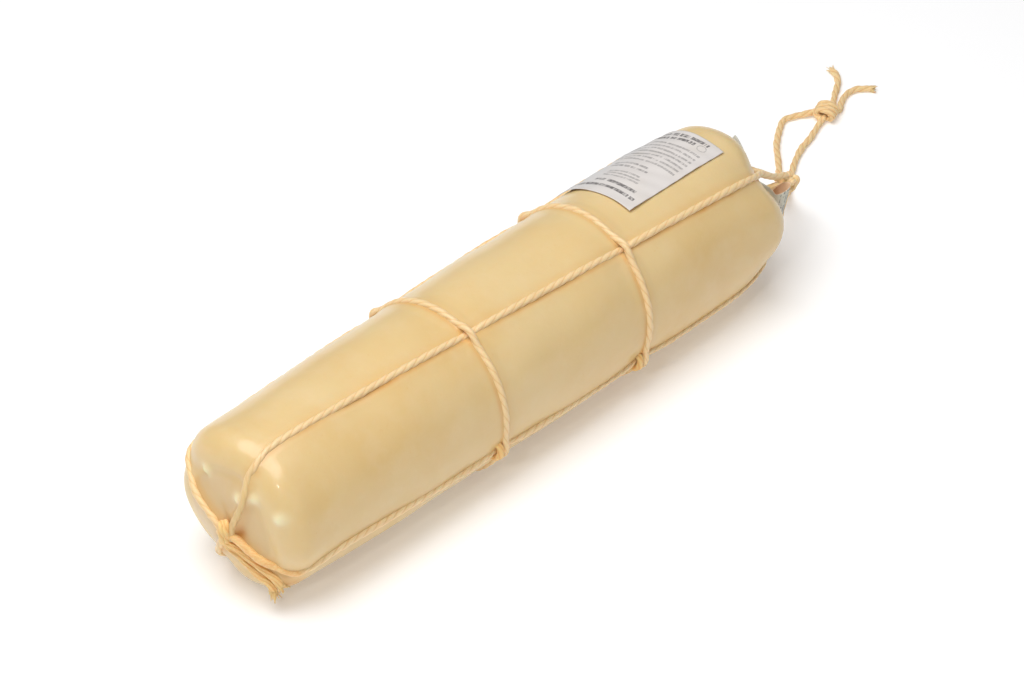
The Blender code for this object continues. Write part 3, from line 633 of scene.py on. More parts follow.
def hoopHeight(h, angle):
    # A hoop climbs over each strand
    r = barrelRadius(net["hoops"][h][0])
    lift = np.zeros(np.shape(angle))
    for k in range(4):
        off = angleBetween(angle, strandAngle(k, hoopPlace(h, angle))) * r
        lift = lift + net["hoopLift"] * hump(off, net["liftLength"])
    inward = net["hoopPinch"][0]
    return keptOffTable(r + net["proud"] + lift - inward, angle) - r + inward


def strandHeight(k, s):
    # A strand sinks where a hoop crosses it
    sink = np.zeros(np.shape(s))
    for h in range(2):
        cross = crossing(k, h)
        beside = np.array([-0.8, 0.0, 0.8]) * twine["radius"] / barrelRadius(net["hoops"][h][0])
        lowest = float(np.min(hoopHeight(h, strandAngle(k, cross) + beside)))
        deep = max(net["crossingSink"], net["proud"] - lowest + net["crossingSpace"])
        sink = sink + deep * hump(s - cross, net["sinkLength"])
    return net["proud"] - sink


def placeOnLog(s, angle, height):
    # The point at a height over the pinched log, in the frame
    x, r = outline(s)
    along, out = outlineNormal(s)
    rise = height - pinch(s, angle)
    r = r + out * rise
    return np.stack([x + along * rise, -r * np.sin(angle), r * np.cos(angle)], -1) + logMiddle


cheese = {
    # Spacing of the rings: on the barrel, at the ends, and beside a hoop out to a distance
    "ringStep": 0.00175, "endStep": 0.0013, "hoopStep": 0.0009, "hoopReach": 0.013,
    # Rings lean with a hoop near it, and stand square again this far on
    "leanReach": 0.012, "leanFade": 0.060,
    "columns": 54, "crowd": 0.6, "hugWidth": 0.0040, "hugDepth": -0.0002, "hugMost": 0.0010,
    "onFace": (0.012, 0.010), "lip": 0.00035, "lipPlace": 0.0062, "lipWidth": 0.0028, "lumps": 0.00035,
    "lumpWaves": 14, "endHug": 0.0040, "endDepth": 0.0006, "waxOver": 0.0017, "faceBeyond": 0.006,
    "knotSink": 0.0015, "stainWidth": 0.0050, "nub": 0.0026, "nubWidth": 0.0031,
    "nubs": [(0.0355, 0.0144), (0.0202, 0.0287), (-0.0102, 0.0238), (-0.0217, 0.0290), (-0.0415, 0.0228)],
    "ring": 0.0345, "ringDepth": 0.0009, "ringWidth": 0.0026, "endFade": 0.012,
    "faceEdge": 0.003, "faceShare": 0.75,
    # How far from the barrel's start the knotted end's own marks begin, and how fast they come in
    "endStart": 0.004, "endGrow": 0.010, "endStain": 0.60, "endClear": 0.85,
    # Wax stains beside a string, with painted shade as well under a strand: how far to its lower side, how
    # wide, how strong
    "strandStainAndShade": (0.0028, 0.0021, 0.70), "hoopLine": (0.0032, 0.0019, 0.60), "haze": 0.0060,
    "strandHaze": 0.35, "hoopHaze": 0.25,
    # Wax that has run down from the near knot: direction over the end face, length, width and strength
    "pool": {"down": (-0.80, -0.60), "length": 0.050, "width": 0.0080, "strength": 0.85},
    # The dark spot beside the near knot: place from the knot, and half sizes
    "spot": {"place": (-0.0105, 0.0030), "size": (0.0036, 0.0065), "strength": 0.85},
}


def cheeseRows():
    # Distances s of the rings: the spacing is finer at the hoops, the rims and the end faces
    s = np.linspace(0.0, marks[5], 4000)
    spacing = np.full(s.shape, cheese["ringStep"])
    spacing[(s < marks[2]) | (s > marks[3])] = cheese["endStep"]
    for h in range(2):
        centre = marks[2] + net["hoops"][h][0] - barrelStart
        spacing = np.where(np.abs(s - centre) < cheese["hoopReach"], cheese["hoopStep"], spacing)
    count = np.concatenate([[0.0], np.cumsum((s[1:] - s[:-1]) / spacing[1:])])
    wanted = np.arange(1, math.floor(count[-1]))
    return np.interp(wanted, count, s)


def leanRows(s, angle):
    # Rings beside a hoop lean with it
    for h in range(2):
        centre = marks[2] + net["hoops"][h][0] - barrelStart
        beyond = np.clip(np.abs(s - centre) - cheese["leanReach"], 0.0, None)
        share = np.clip(1.0 - beyond / cheese["leanFade"], 0.0, 1.0)
        s = s + share * (hoopPlace(h, angle) - centre)
    return s


def stringRise(s, angle, height):
    # A string's middle over the pinched log, where it is also kept off the table
    r = outline(s)[1]
    out = outlineNormal(s)[1]
    stringR = r + out * (height - pinch(s, angle))
    return height - (stringR - keptOffTable(stringR, angle)) * np.maximum(out, 0.0)


def endStrings():
    # Places of the strings that lie on the knotted end, with the near knot
    paths = [strandPath(k) for k in range(4)] + [tailPath(side) for side in range(2)]
    paths[0] = paths[0] - [cheese["waxOver"], 0.0, 0.0]
    spots = np.vstack([path - logMiddle for path in paths])
    spots = spots[spots[:, 0] < barrelStart - cheese["faceBeyond"]]
    return np.vstack([spots, knotCentre(knots["near"], -1) + [cheese["knotSink"], 0.0, 0.0]])


def hugEnd(points, share):
    # The end face is drawn up to each string on it: the nearest string's place, fading with distance across
    spots = endStrings()
    chosen = share[:, 0] > 0
    local = (points[chosen] - logMiddle).reshape(-1, 3)
    apart = np.hypot(local[:, None, 1] - spots[None, :, 1], local[:, None, 2] - spots[None, :, 2])
    nearest = np.argmin(apart, axis=1)
    distance = apart[np.arange(len(local)), nearest]
    shape = points[chosen].shape
    weight = hump(distance, cheese["endHug"]) * np.broadcast_to(share[chosen], shape[:2]).ravel()
    wanted = np.minimum(local[:, 0], spots[nearest, 0] + cheese["endDepth"])
    local[:, 0] += weight * (wanted - local[:, 0])
    points[chosen] = local.reshape(shape) + logMiddle
    closeness = np.zeros(points.shape[:2])
    closeness[chosen] = hump(distance, cheese["stainWidth"]).reshape(shape[:2])
    return points, closeness * share


def stringMarks(s, angle, r, onFace):
    # What the strings do to the skin: how far it is drawn up, the low lip beside them, and the stain, which
    # on a strand's lower side is also painted shade
    rises = {"strand": np.zeros(s.shape), "hoop": np.zeros(s.shape)}
    strandHug = np.zeros(s.shape)
    lip = np.zeros(s.shape)
    stainAndShade = np.zeros(s.shape)
    wave = slowWave(s + angle * 0.02, 4, 0.045)
    for k in range(4):
        line = strandAngle(k, s)
        off = angleBetween(angle, line) * r
        hug = hump(off, cheese["hugWidth"]) * onFace
        rise = np.minimum(stringRise(s, line, strandHeight(k, s)) - cheese["hugDepth"], cheese["hugMost"])
        rises["strand"] = rises["strand"] + hug * rise
        strandHug = np.maximum(strandHug, hug)
        lip = np.maximum(lip, hump(np.abs(off) - cheese["lipPlace"], cheese["lipWidth"]) * onFace)
        # Along the strand's lower side the line is wax staining together with painted shade under the strand
        place, width, strength = cheese["strandStainAndShade"]
        stainAndShadeLine = hump(off * np.sign(np.sin(line)) - place, width)
        stainAndShade = np.maximum(stainAndShade, stainAndShadeLine * (strength + (1.0 - strength) * wave))
        stainAndShade = np.maximum(stainAndShade, cheese["strandHaze"] * hump(off, cheese["haze"]))
    for h in range(2):
        along = hoopPlace(h, angle)
        off = s - along
        rise = stringRise(along, angle, hoopHeight(h, angle)) - cheese["hugDepth"]
        rise = np.minimum(rise, cheese["hugMost"])
        rises["hoop"] = rises["hoop"] + hump(off, cheese["hugWidth"]) * rise
        lip = np.maximum(lip, hump(np.abs(off) - cheese["lipPlace"], cheese["lipWidth"]))
        place, width, strength = cheese["hoopLine"]
        stainAndShade = np.maximum(stainAndShade, strength * hump(off + place, width))
        stainAndShade = np.maximum(stainAndShade, cheese["hoopHaze"] * hump(off, cheese["haze"]))
    rise = cheese["lip"] * lip + rises["strand"] + rises["hoop"] * (1.0 - strandHug)
    return rise, stainAndShade


def lumps(s, angle):
    # Slow unevenness of the whole skin: waves along and round the log
    random = np.random.default_rng(7)
    rise = 0.0
    for _ in range(cheese["lumpWaves"]):
        waves, turns, phase = random.uniform(2, 11), random.integers(0, 6), random.uniform(0, fullTurn)
        rise = rise + cheese["lumps"] / 3 * np.sin(s / marks[5] * fullTurn * waves + turns * angle + phase)
    return rise


def nubsAndRing(s, angle, y, z):
    # The knotted end's small nubs, with a mark that paints a highlight on them, the pressed ring round its
    # face, and the face inside the ring
    nearEnd = np.clip((marks[2] - s) / cheese["endFade"], 0.0, 1.0)
    nub = np.zeros(s.shape)
    for ny, nz in cheese["nubs"]:
        nub = np.maximum(nub, nearEnd * hump(np.hypot(y - ny, z - nz), cheese["nubWidth"]))
    ringAt = cheese["ring"] * (1.0 + 0.05 * np.sin(3.0 * angle + 1.0))
    ring = hump(np.hypot(y, z) - ringAt, cheese["ringWidth"]) * np.clip(z / 0.012 + 0.6, 0.0, 1.0)
    depth = nearEnd * (cheese["ringDepth"] * ring - cheese["nub"] * nub)
    inside = np.clip((ringAt - np.hypot(y, z)) / cheese["faceEdge"] + 0.5, 0.0, 1.0)
    face = nearEnd * inside * cheese["faceShare"]
    return depth, nub, face


def knotStains(s, y, z):
    # Wax has run down and pooled round the near knot and beside its tails, with a dark spot beside the knot
    y, z = y - knots["near"][1], z - knots["near"][2]
    pool, spot = cheese["pool"], cheese["spot"]
    dy, dz = pool["down"]
    run = np.clip((y * dy + z * dz) / pool["length"], 0.0, 1.0)
    away = np.hypot(y - dy * pool["length"] * run, z - dz * pool["length"] * run)
    onNear = np.clip((marks[2] + cheese["endStart"] - s) / cheese["endGrow"], 0.0, 1.0)
    pooled = onNear * pool["strength"] * hump(away, pool["width"])
    farY, farZ = ((c - place) / size for c, place, size in zip((y, z), spot["place"], spot["size"]))
    return pooled, onNear * spot["strength"] * hump(np.hypot(farY, farZ), 1.0)


def buildCheese():
    # Rings and columns over the whole log: the columns follow the strands and crowd beside them
    share = np.linspace(0.0, 1.0, cheese["columns"], endpoint=False)
    share = share - cheese["crowd"] * np.sin(fullTurn * share) / fullTurn
    rows = cheeseRows()[:, None]
    lines = [strandAngle(k, rows) for k in range(4)]
    lines.append(lines[0] + fullTurn)
    angle = np.concatenate([lines[k] + (lines[k + 1] - lines[k]) * share for k in range(4)], 1)
    s = leanRows(rows, angle)
    r = outline(s)[1]
    faceStart, faceFade = cheese["onFace"]
    rise, stainAndShade = stringMarks(s, angle, r, np.clip((r - faceStart) / faceFade, 0.0, 1.0))
    points = placeOnLog(s, angle, rise + lumps(s, angle))
    y, z = points[..., 1] - logMiddle[1], points[..., 2] - logMiddle[2]
    depth, nub, face = nubsAndRing(s, angle, y, z)
    points[..., 0] += depth
    onEnd = np.clip((marks[2] - cheese["endStart"] - rows) / cheese["endGrow"], 0.0, 1.0)
    points, closeness = hugEnd(points, onEnd)
    points[..., 2] = np.maximum(points[..., 2], 0.0)
    pooled, deep = knotStains(s, y, z)
    stainAndShade = np.maximum(stainAndShade * (1.0 - cheese["endClear"] * onEnd), cheese["endStain"] * closeness)
    stainAndShade = np.maximum(stainAndShade, pooled)
    values = {"stainAndShade": stainAndShade, "deep": deep, "nub": nub**0.6, "face": face}
    body = addSurface("cheeseLog", points, [cheesePaint()], marksOn=values)
    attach(body, "root")
    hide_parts("cheese_body")


def endSurface(y, z, side, height):
    # Where the log's end lies along X at a point across it
    s = np.linspace(0.0, marks[2], 90) if side < 0 else np.linspace(marks[5], marks[3], 90)
    points = placeOnLog(s, np.arctan2(-y, z), height) - logMiddle
    r = np.maximum.accumulate(np.hypot(points[:, 1], points[:, 2]))
    return float(np.interp(np.hypot(y, z), r, points[:, 0]))


def knotCentre(offset, side):
    return np.array([side * log["length"] / 2, 0.0, 0.0]) + np.array(offset)


def knotEdge(last, knot, reach):
    away = np.asarray(last) - knot
    return knot + away / np.linalg.norm(away) * reach


strandRoute = {
    "faceShares": (0.4, 0.8), "into": (0.0022, 0.0, -0.0030),
    "bows": [(-0.0042, -0.0018), (0.0, 0.0), (0.0, 0.0), (0.0, 0.0)],
    "far": [
        [(-0.0091, -0.0283, 0.0329), (0.0025, -0.0275, 0.0245), (0.0115, -0.0268, 0.0190),
         (0.0188, -0.0265, 0.0162)],
        [(0.0040, -0.0330, -0.0185), (0.0165, -0.0262, -0.0130)],
        [(0.0045, 0.0130, -0.0150), (0.0150, -0.0090, -0.0030)],
        [(-0.0010, 0.0275, 0.0190), (0.0055, 0.0135, 0.0145), (0.0140, -0.0050, 0.0110)],
    ],
}


def nearRun(k, first, knot):
    # Over the knotted end, from a strand's last place on the rim to the knot
    edge = knotEdge(first, knot, max(knots["nearSize"]) + knots["edge"])
    points = []
    for t, bow in zip(strandRoute["faceShares"], strandRoute["bows"][k]):
        y, z = first[1:] + (edge[1:] - first[1:]) * t
        y += bow
        points.append((endSurface(y, z, -1, net["endLift"]), y, z))
    edgeX = min(edge[0], endSurface(edge[1], edge[2], -1, net["endLift"]))
    return points + [(edgeX, edge[1], edge[2]), tuple(np.asarray(knot) + strandRoute["into"])]


def strandPath(k):
    # From inside the near knot, over the rim, along the log, over the far rim and to the gathering knot
    turnNear, turnFar = marks[2] - marks[1], marks[4] - marks[3]
    s = np.concatenate([[marks[1] + turnNear / 4, marks[1] + turnNear / 2, marks[1] + turnNear * 3 / 4],
                        np.linspace(marks[2], marks[3], 132), [marks[3] + turnFar / 5]])
    angle = strandAngle(k, s)
    body = placeOnLog(s, angle, strandHeight(k, s)) - logMiddle
    r = np.hypot(body[:, 1], body[:, 2])
    body[:, 1:] *= (keptOffTable(r, angle) / r)[:, None]
    near = knotCentre(knots["near"], -1)
    aim = near + np.array([0.0, *knots["nearAims"][k]])
    far = knotCentre(knots["far"], 1)
    route = [(log["length"] / 2 + x, y, z) for x, y, z in strandRoute["far"][k]]
    start = nearRun(k, body[0], aim)[::-1]
    end = route + [tuple(knotEdge(route[-1], far, knots["farSize"] + knots["edge"])),
                   tuple(knotEdge(route[-1], far, knots["farSize"] * 0.4))]
    return smoothPath(np.vstack([start, body, end]) + logMiddle, twine["step"])


nearTails = {
    "lift": 0.0034, "widen": 0.16, "start": (0.0, -0.001, -0.004),
    "fray": {"length": 0.0066, "spread": 0.42, "thick": 0.0011, "count": 16},
    # Each tail: distances s and angles in degrees down the end face, then its tip
    "routes": [
        ([(0.0170, 165.0), (0.022, 147.5), (0.031, 140.5), (0.040, 136.0), (0.0455, 134.0)],
         (-0.2325, -0.0364, -0.0430)),
        ([(0.0190, 135.0), (0.0240, 130.5), (0.030, 128.0), (0.0385, 126.0), (0.0455, 125.5)],
         (-0.2298, -0.0410, -0.0362)),
    ],
}


def tailPath(side):
    # From under the near knot down the end face, and off it at the tip
    places, tip = nearTails["routes"][side]
    s = np.array([p[0] for p in places])
    body = placeOnLog(s, np.radians([p[1] for p in places]), nearTails["lift"])
    start = knotCentre(knots["near"], -1) + logMiddle + nearTails["start"]
    return smoothPath(np.vstack([start, body, np.array(tip) + logMiddle]), twine["step"])


buildCheese()
print("cheese made")


def buildStrands():
    for k in range(4):
        path = strandPath(k)
        x = path[:, 0] - logMiddle[0] + log["length"] / 2
        onFace = np.clip(1.0 - x / 0.016, 0.0, 1.0)
        # Wax hides the first strand on the knotted end
        patches = np.clip(slowWave(path[:, 0], 20 + k, 0.05), 0.0, 1.0)
        wax = onFace * (0.9 if k == 0 else 0.25) + 0.12 * patches
        gold = np.clip((0.019 - x) / 0.004, 0.0, 1.0) if k == 1 else 0.0
        radius = twine["radius"] * (1.0 + 0.20 * gold)
        strand = layTwine(f"strand{k + 1}", path, paints["waxed"], seed=30 + k, wax=wax * (1.0 - gold),
                          gold=gold, radius=radius, crease=0.12, columns=18)
        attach(strand, "root")
        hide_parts(f"strand_{k + 1}")


buildStrands()
print("lengthwise strands made")

# Each hitch: turns and where they start, and sizes as multiples of the twine's radius
hitch = {"start": -0.2, "turns": 1.45, "back": 2.7, "step": 1.9, "wide": 2.35, "tall": 2.15, "lift": 0.2}


def buildHoops():
    # Each hoop goes once round the log, and takes a turn about strand 2 beside its crossing
    for h in range(2):
        cross = crossing(1, h)
        start = float(strandAngle(1, cross))
        angle = np.linspace(start, start + fullTurn, 420)
        path = placeOnLog(hoopPlace(h, angle), angle, hoopHeight(h, angle))
        path[-1] = path[0]
        hoop = layTwine(f"hoop{h + 1}", path, paints["waxed"], seed=40 + h, crease=0.12, columns=18,
                        ends=(0.0, 0.0))
        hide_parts(f"hoop_{h + 1}")
        t = np.linspace(hitch["start"] * fullTurn, (hitch["start"] + hitch["turns"]) * fullTurn, 90)
        radius = twine["radius"]
        height = float(strandHeight(1, cross))
        along = (-hitch["back"] + hitch["step"] * (t - t[0]) / (t[-1] - t[0])) * radius
        place = cross + along
        logRadius = barrelRadius(net["hoops"][h][0])
        around = start + hitch["wide"] * radius * np.cos(t) / logRadius
        up = height + hitch["lift"] * radius + hitch["tall"] * radius * np.sin(t)
        turnPath = placeOnLog(place, around, up)
        turn = layTwine(f"hitch{h + 1}", turnPath, paints["golden"], seed=44 + h, columns=18)
        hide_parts(f"hitch_{h + 1}")
        for piece in (hoop, turn):
            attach(piece, "root")


buildHoops()
print("hoops and hitches made")


def buildEndKnots():
    # The near knot: turns of twine over the gathered strands, round a smaller overhand knot
    near = knotCentre(knots["near"], -1) + logMiddle + knots["nearRaise"]
    coil, core = knots["coil"], knots["core"]
    turn = coiledKnot("nearKnotTurn", near + coil["place"], coil["size"], paints["golden"],
                      knots["coilSpin"], knots["coilTurns"], knots["coilSlant"],
                      radius=coil["radius"], seed=60)
    inside = overhandKnot("nearKnotCore", near + core["place"], core["size"], paints["golden"], 0.0,
                          math.radians(90.0), radius=core["radius"])
    nearKnot = joinPieces("nearKnot", [inside, turn])
    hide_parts("near_knot")
    far = knotCentre(knots["far"], 1) + logMiddle
    farKnot = overhandKnot("farKnot", far, knots["farHalf"], paints["waxed"], knots["farTurn"],
                           knots["farTilt"])
    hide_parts("far_knot")
    for piece in (nearKnot, farKnot):
        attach(piece, "root")


def buildNearTails():
    for n, side in enumerate(("left", "right")):
        path = tailPath(n)
        run = np.linspace(0.0, 1.0, len(path))[:, None]
        radius = twine["radius"] * (1.0 + nearTails["widen"] * run[:-4, 0])
        tail = layTwine(f"nearTail_{side}_twine", path[:-4], paints["golden"], seed=70 + n, crease=0.16,
                        lay=0.09, plies=7, columns=42, swell=0.10, gold=0.15, radius=radius)
        tips = frayedTip(f"nearTail_{side}_fray", path[-6], path[-1] - path[-6], paints["golden"], 75 + n,
                         **nearTails["fray"])
        piece = joinPieces(f"nearTail_{side}", [tail, tips])
        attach(piece, "root")
        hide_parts(f"near_tail_{side}")


buildEndKnots()
buildNearTails()
print("knots and tails made")

label = {
    "span": (0.112, 0.205), "angles": (-52.0, 15.0), "lift": 0.0009, "paper": 0.00025,
    "ripple": 0.00022, "fineRipple": 0.00016, "edgeCurl": 0.0006, "edgeFade": 0.035,
    # The grey for the rear edge is painted shade, on the far side of the log's top
    "white": (226, 220, 216), "rearShade": (204, 206, 208), "ink": (96, 92, 92), "oil": (216, 204, 186),
    # Each row: place along the label, half height, share round where it starts and ends, darkness
    "rows": [
        (0.100, 0.015, 0.10, 0.93, 0.90), (0.170, 0.015, 0.36, 0.87, 0.90),
        (0.250, 0.009, 0.36, 0.80, 0.50), (0.285, 0.009, 0.36, 0.78, 0.50),
        (0.320, 0.009, 0.34, 0.74, 0.50), (0.400, 0.011, 0.25, 0.74, 0.60),
        (0.445, 0.011, 0.25, 0.70, 0.60), (0.520, 0.010, 0.08, 0.935, 0.52),
        (0.567, 0.010, 0.08, 0.93, 0.52), (0.614, 0.010, 0.08, 0.93, 0.52),
        (0.661, 0.010, 0.08, 0.93, 0.52), (0.708, 0.010, 0.08, 0.925, 0.52),
        (0.755, 0.010, 0.08, 0.92, 0.52), (0.802, 0.010, 0.08, 0.92, 0.52),
        (0.890, 0.017, 0.12, 0.76, 0.90), (0.945, 0.017, 0.12, 0.87, 0.90),
    ],
    # Rows lower than this have fine print, the others coarse: marks round the label
    "fineBelow": 0.012, "fine": 52.0, "coarse": 34.0,
    # The oval stamp: place along and round, and half sizes
    "stamp": (0.888, 0.845, 0.030, 0.048),
}


def labelPaint():
    paint, tree, shader = startPaint("labelPaper", Roughness=0.55, Coat_Weight=0.12, Coat_Roughness=0.3)
    uv = put(tree, "ShaderNodeUVMap", uv_map="UVMap").outputs[0]
    split = put(tree, "ShaderNodeSeparateXYZ", {0: uv})
    around, along = split.outputs[0], split.outputs[1]
    place = objectPlace(tree)
    printed = None
    for n, (middle, half, start, end, dark) in enumerate(label["rows"]):
        off = math2(tree, "ABSOLUTE", math2(tree, "SUBTRACT", along, middle))
        row = math2(tree, "LESS_THAN", off, half)
        inside = math2(tree, "MULTIPLY", math2(tree, "GREATER_THAN", around, start),
                       math2(tree, "LESS_THAN", around, end))
        density = label["fine"] if half < label["fineBelow"] else label["coarse"]
        marksRound = math2(tree, "MULTIPLY", around, density)
        words = put(tree, "ShaderNodeCombineXYZ", {0: marksRound, 1: 3.7 * n, 2: 0.0}).outputs[0]
        gaps = math2(tree, "GREATER_THAN", noise(tree, words, 1.0, 2.0, 0.7), 0.42)
        part = math2(tree, "MULTIPLY", row, inside)
        part = math2(tree, "MULTIPLY", part, math2(tree, "MULTIPLY", gaps, dark))
        printed = part if printed is None else math2(tree, "MAXIMUM", printed, part)
    sa, sv, da, dv = label["stamp"]
    oval = math2(tree, "ADD",
                 math2(tree, "POWER", math2(tree, "DIVIDE", math2(tree, "SUBTRACT", along, sa), da), 2.0),
                 math2(tree, "POWER", math2(tree, "DIVIDE", math2(tree, "SUBTRACT", around, sv), dv), 2.0))
    ring = math2(tree, "LESS_THAN", math2(tree, "ABSOLUTE", math2(tree, "SUBTRACT", oval, 1.0)), 0.22)
    printed = math2(tree, "MAXIMUM", printed, math2(tree, "MULTIPLY", ring, 0.45))
    wear = stretch(tree, noise(tree, place, 600.0, 3.0), 0.25, 0.55)
    printed = math2(tree, "MULTIPLY", printed, wear)
    # Painted shade: the label turns greyer towards its rear edge, on the far side of the log's top
    rear = stretch(tree, around, 0.55, 0.0)
    color = mixColor(tree, math2(tree, "MULTIPLY", rear, 0.8), tone(*label["white"]), tone(*label["rearShade"]))
    oily = stretch(tree, noise(tree, place, 45.0, 3.0), 0.52, 0.72)
    color = mixColor(tree, math2(tree, "MULTIPLY", oily, 0.25), color, tone(*label["oil"]))
    color = mixColor(tree, printed, color, tone(*label["ink"]))
    tree.links.new(color, shader.inputs["Base Color"])
    bump = put(tree, "ShaderNodeBump", {"Height": noise(tree, place, 260.0, 4.0), "Strength": 0.12,
                                        "Distance": 0.0006})
    tree.links.new(bump.outputs["Normal"], shader.inputs["Normal"])
    return paint


def buildLabel():
    # A sheet laid round the top of the log, a little wavy: place along, then angle round
    v, u = np.meshgrid(np.linspace(0.0, 1.0, 130), np.linspace(0.0, 1.0, 110), indexing="ij")
    s = marks[2] - barrelStart + label["span"][0] + (label["span"][1] - label["span"][0]) * v
    angle = np.radians(label["angles"][0] + (label["angles"][1] - label["angles"][0]) * u)
    wave = label["ripple"] * np.sin(v * 21.0 + 3.0 * u) * np.sin(u * 9.0 + 1.0)
    wave = wave + label["fineRipple"] * np.sin(v * 47.0 - u * 13.0)
    edge = np.minimum(np.minimum(u, 1 - u), np.minimum(v, 1 - v))
    curl = label["edgeCurl"] * np.exp(-edge / label["edgeFade"]) * (0.5 + 0.5 * np.sin(u * 7.0 + v * 11.0))
    sheet = addSurface("paperLabel", placeOnLog(s, angle, label["lift"] + wave + curl), [labelPaint()],
                       around=False, poles=False)
    wall = sheet.modifiers.new("thickness", "SOLIDIFY")
    wall.thickness = label["paper"]
    wall.offset = 0.0
    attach(sheet, "root")
    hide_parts("label")


buildLabel()
print("label made")

band = {
    "width": 0.023, "left": (0.0042, 0.0150, 0.0266), "turn": (0.0084, -0.0302, 0.0028), "curl": 0.0053,
    "curlAngle": math.radians(290), "flatShare": 0.50, "lean": 0.0045, "tuck": 0.0022, "dropShare": 0.7,
    "tubeLean": 0.33, "slant": 0.13, "tilt": 0.45, "paper": 0.00035, "crinkle": 0.0004,
    # Rows of print along the tube: place round it and half height, with marks along each row
    "printMarks": 12.0,
    "rows": [(0.575, 0.004), (0.612, 0.008), (0.645, 0.005), (0.678, 0.009), (0.712, 0.006)],
    "face": (216, 218, 204), "worn": (206, 202, 192), "ink": (92, 98, 94),
    # The inner colours are a warm painted shade inside the curled tube
    "inner": (240, 206, 172), "innerShadeMottled": (232, 196, 160),
}


def bandPaints():
    paint, tree, shader = startPaint("bandPaper", Roughness=0.6)
    uv = put(tree, "ShaderNodeUVMap", uv_map="UVMap").outputs[0]
    split = put(tree, "ShaderNodeSeparateXYZ", {0: uv})
    across, along = split.outputs[0], split.outputs[1]
    place = objectPlace(tree)
    printed = None
    for middle, half in band["rows"]:
        off = math2(tree, "ABSOLUTE", math2(tree, "SUBTRACT", along, middle))
        row = math2(tree, "LESS_THAN", off, half)
        marksAlong = math2(tree, "MULTIPLY", across, band["printMarks"])
        words = put(tree, "ShaderNodeCombineXYZ", {0: marksAlong, 1: middle * 61.0, 2: 0.0}).outputs[0]
        gaps = math2(tree, "GREATER_THAN", noise(tree, words, 1.0, 2.0, 0.7), 0.47)
        part = math2(tree, "MULTIPLY", row, gaps)
        printed = part if printed is None else math2(tree, "MAXIMUM", printed, part)
    color = mixColor(tree, stretch(tree, noise(tree, place, 80.0, 3.0), 0.3, 0.7), tone(*band["face"]),
                     tone(*band["worn"]))
    color = mixColor(tree, math2(tree, "MULTIPLY", printed, 0.8), color, tone(*band["ink"]))
    tree.links.new(color, shader.inputs["Base Color"])
    bump = put(tree, "ShaderNodeBump", {"Height": noise(tree, place, 300.0, 4.0), "Strength": 0.15,
                                        "Distance": 0.0005})
    tree.links.new(bump.outputs["Normal"], shader.inputs["Normal"])
    inner, innerTree, innerShader = startPaint("bandInside", Roughness=0.7)
    spot = objectPlace(innerTree)
    innerColor = mixColor(innerTree, stretch(innerTree, noise(innerTree, spot, 120.0, 4.0), 0.3, 0.7),
                          tone(*band["inner"]), tone(*band["innerShadeMottled"]))
    innerUv = put(innerTree, "ShaderNodeUVMap", uv_map="UVMap").outputs[0]
    innerSplit = put(innerTree, "ShaderNodeSeparateXYZ", {0: innerUv})
    # Painted shade: the paper inside the curled tube gets the warm shade colours, the flat part keeps its
    # print
    inTube = math2(innerTree, "GREATER_THAN", innerSplit.outputs[1], 0.44)
    wave = math2(innerTree, "SINE", math2(innerTree, "MULTIPLY", innerSplit.outputs[0], 52.0))
    streaks = math2(innerTree, "MULTIPLY", math2(innerTree, "GREATER_THAN", wave, 0.55), 0.45)
    printed = mixColor(innerTree, streaks, tone(*band["face"]), tone(*band["ink"]))
    innerColor = mixColor(innerTree, inTube, printed, innerColor)
    innerTree.links.new(innerColor, innerShader.inputs["Base Color"])
    return [inner, paint]


def bandPoints(u, v):
    # The band leans on the end face, then its other end curls round in an upright tube
    left, turn = np.array(band["left"]), np.array(band["turn"])
    tangent = turn - [band["curl"], 0.0, 0.0]
    t = np.clip(u / band["flatShare"], 0.0, 1.0)
    drop = np.clip(t / band["dropShare"], 0.0, 1.0)
    ease = drop * drop * (3 - 2 * drop)
    across = v - 0.5
    flat = left + (tangent - left) * np.stack([t * t, t, ease], -1)
    flat[..., 0] += (1 - t) * band["lean"] * 2 * across - band["tuck"] * np.sin(math.pi * t)
    angle = np.clip((u - band["flatShare"]) / (1 - band["flatShare"]), 0.0, 1.0) * band["curlAngle"]
    curl = turn - band["curl"] * np.stack([np.cos(angle), np.sin(angle), 0 * angle], -1)
    place = np.where((u < band["flatShare"])[..., None], flat, curl)
    tilt = band["tilt"] * (1 - t)
    # The tube's opening slants down towards the log
    slant = band["slant"] * np.clip(v * 2 - 1, 0.0, 1.0) * t**6 * (1 + np.cos(angle + math.pi / 4))
    width = band["width"] * (across - slant)
    rise = [band["tubeLean"] * t**3 * width, -tilt * width, np.sqrt(1 - tilt**2) * width]
    return place + np.stack(rise, -1) + logMiddle + [log["length"] / 2, 0.0, 0.0]


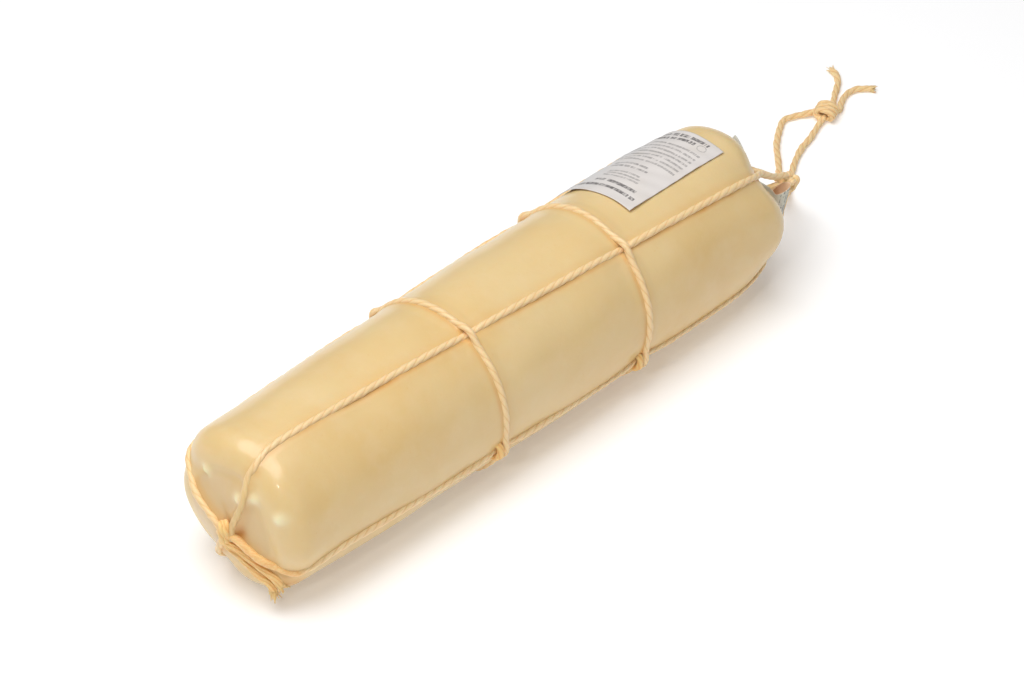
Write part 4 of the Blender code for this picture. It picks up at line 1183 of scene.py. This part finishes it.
def buildBand():
    u, v = np.meshgrid(np.linspace(0.0, 1.0, 130), np.linspace(0.0, 1.0, 26), indexing="ij")
    points = bandPoints(u, v)
    points[..., 0] += band["crinkle"] * np.sin(u * 23.0 + v * 4.0) * (1 - u)
    sheet = addSurface("paperBand", points, bandPaints(), around=False, poles=False)
    wall = sheet.modifiers.new("thickness", "SOLIDIFY")
    wall.thickness = band["paper"]
    wall.offset = 0.0
    wall.material_offset = 1
    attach(sheet, "root")
    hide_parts("paper_band")


buildBand()
print("paper band made")

studio = {
    "floor": (0.90, 0.90, 0.905), "glow": 0.24, "world": 0.17,
    # Each lamp: place, size, power
    "lamps": {
        "key": ((-0.50, 0.10, 2.3), 2.2, 54.0), "fill": ((0.9, -1.6, 1.3), 1.6, 0.8),
        "glint": ((-1.25, -0.66, 1.23), 0.16, 3.0),
    },
}


def buildStudio():
    world = bpy.data.worlds.new("paleRoom")
    world.use_nodes = True
    world.node_tree.nodes["Background"].inputs[0].default_value = (1.0, 0.99, 0.98, 1.0)
    world.node_tree.nodes["Background"].inputs[1].default_value = studio["world"]
    bpy.context.scene.world = world
    bpy.context.scene.view_settings.view_transform = "Standard"
    mesh = bpy.data.meshes.new("floor")
    mesh.from_pydata([(-4, -4, 0), (4, -4, 0), (4, 4, 0), (-4, 4, 0)], [], [(0, 1, 2, 3)])
    floor = bpy.data.objects.new("floor", mesh)
    bpy.context.scene.collection.objects.link(floor)
    paint, tree, shader = startPaint("paleFloor", Roughness=0.9)
    shader.inputs["Base Color"].default_value = (*studio["floor"], 1.0)
    shader.inputs["Emission Color"].default_value = (*studio["floor"], 1.0)
    shader.inputs["Emission Strength"].default_value = studio["glow"]
    mesh.materials.append(paint)
    for name, (place, size, power) in studio["lamps"].items():
        lamp = bpy.data.lights.new(name, "AREA")
        lamp.shape = "DISK"
        lamp.size = size
        lamp.energy = power
        obj = bpy.data.objects.new(name, lamp)
        bpy.context.scene.collection.objects.link(obj)
        direction = np.array(place) / np.linalg.norm(place)
        right = np.cross([0.0, 0.0, 1.0], direction)
        right /= np.linalg.norm(right)
        up = np.cross(direction, right)
        rows = [[right[i], up[i], direction[i], place[i]] for i in range(3)] + [[0, 0, 0, 1]]
        obj.matrix_world = Matrix(rows)


buildStudio()
print("floor and lights set")
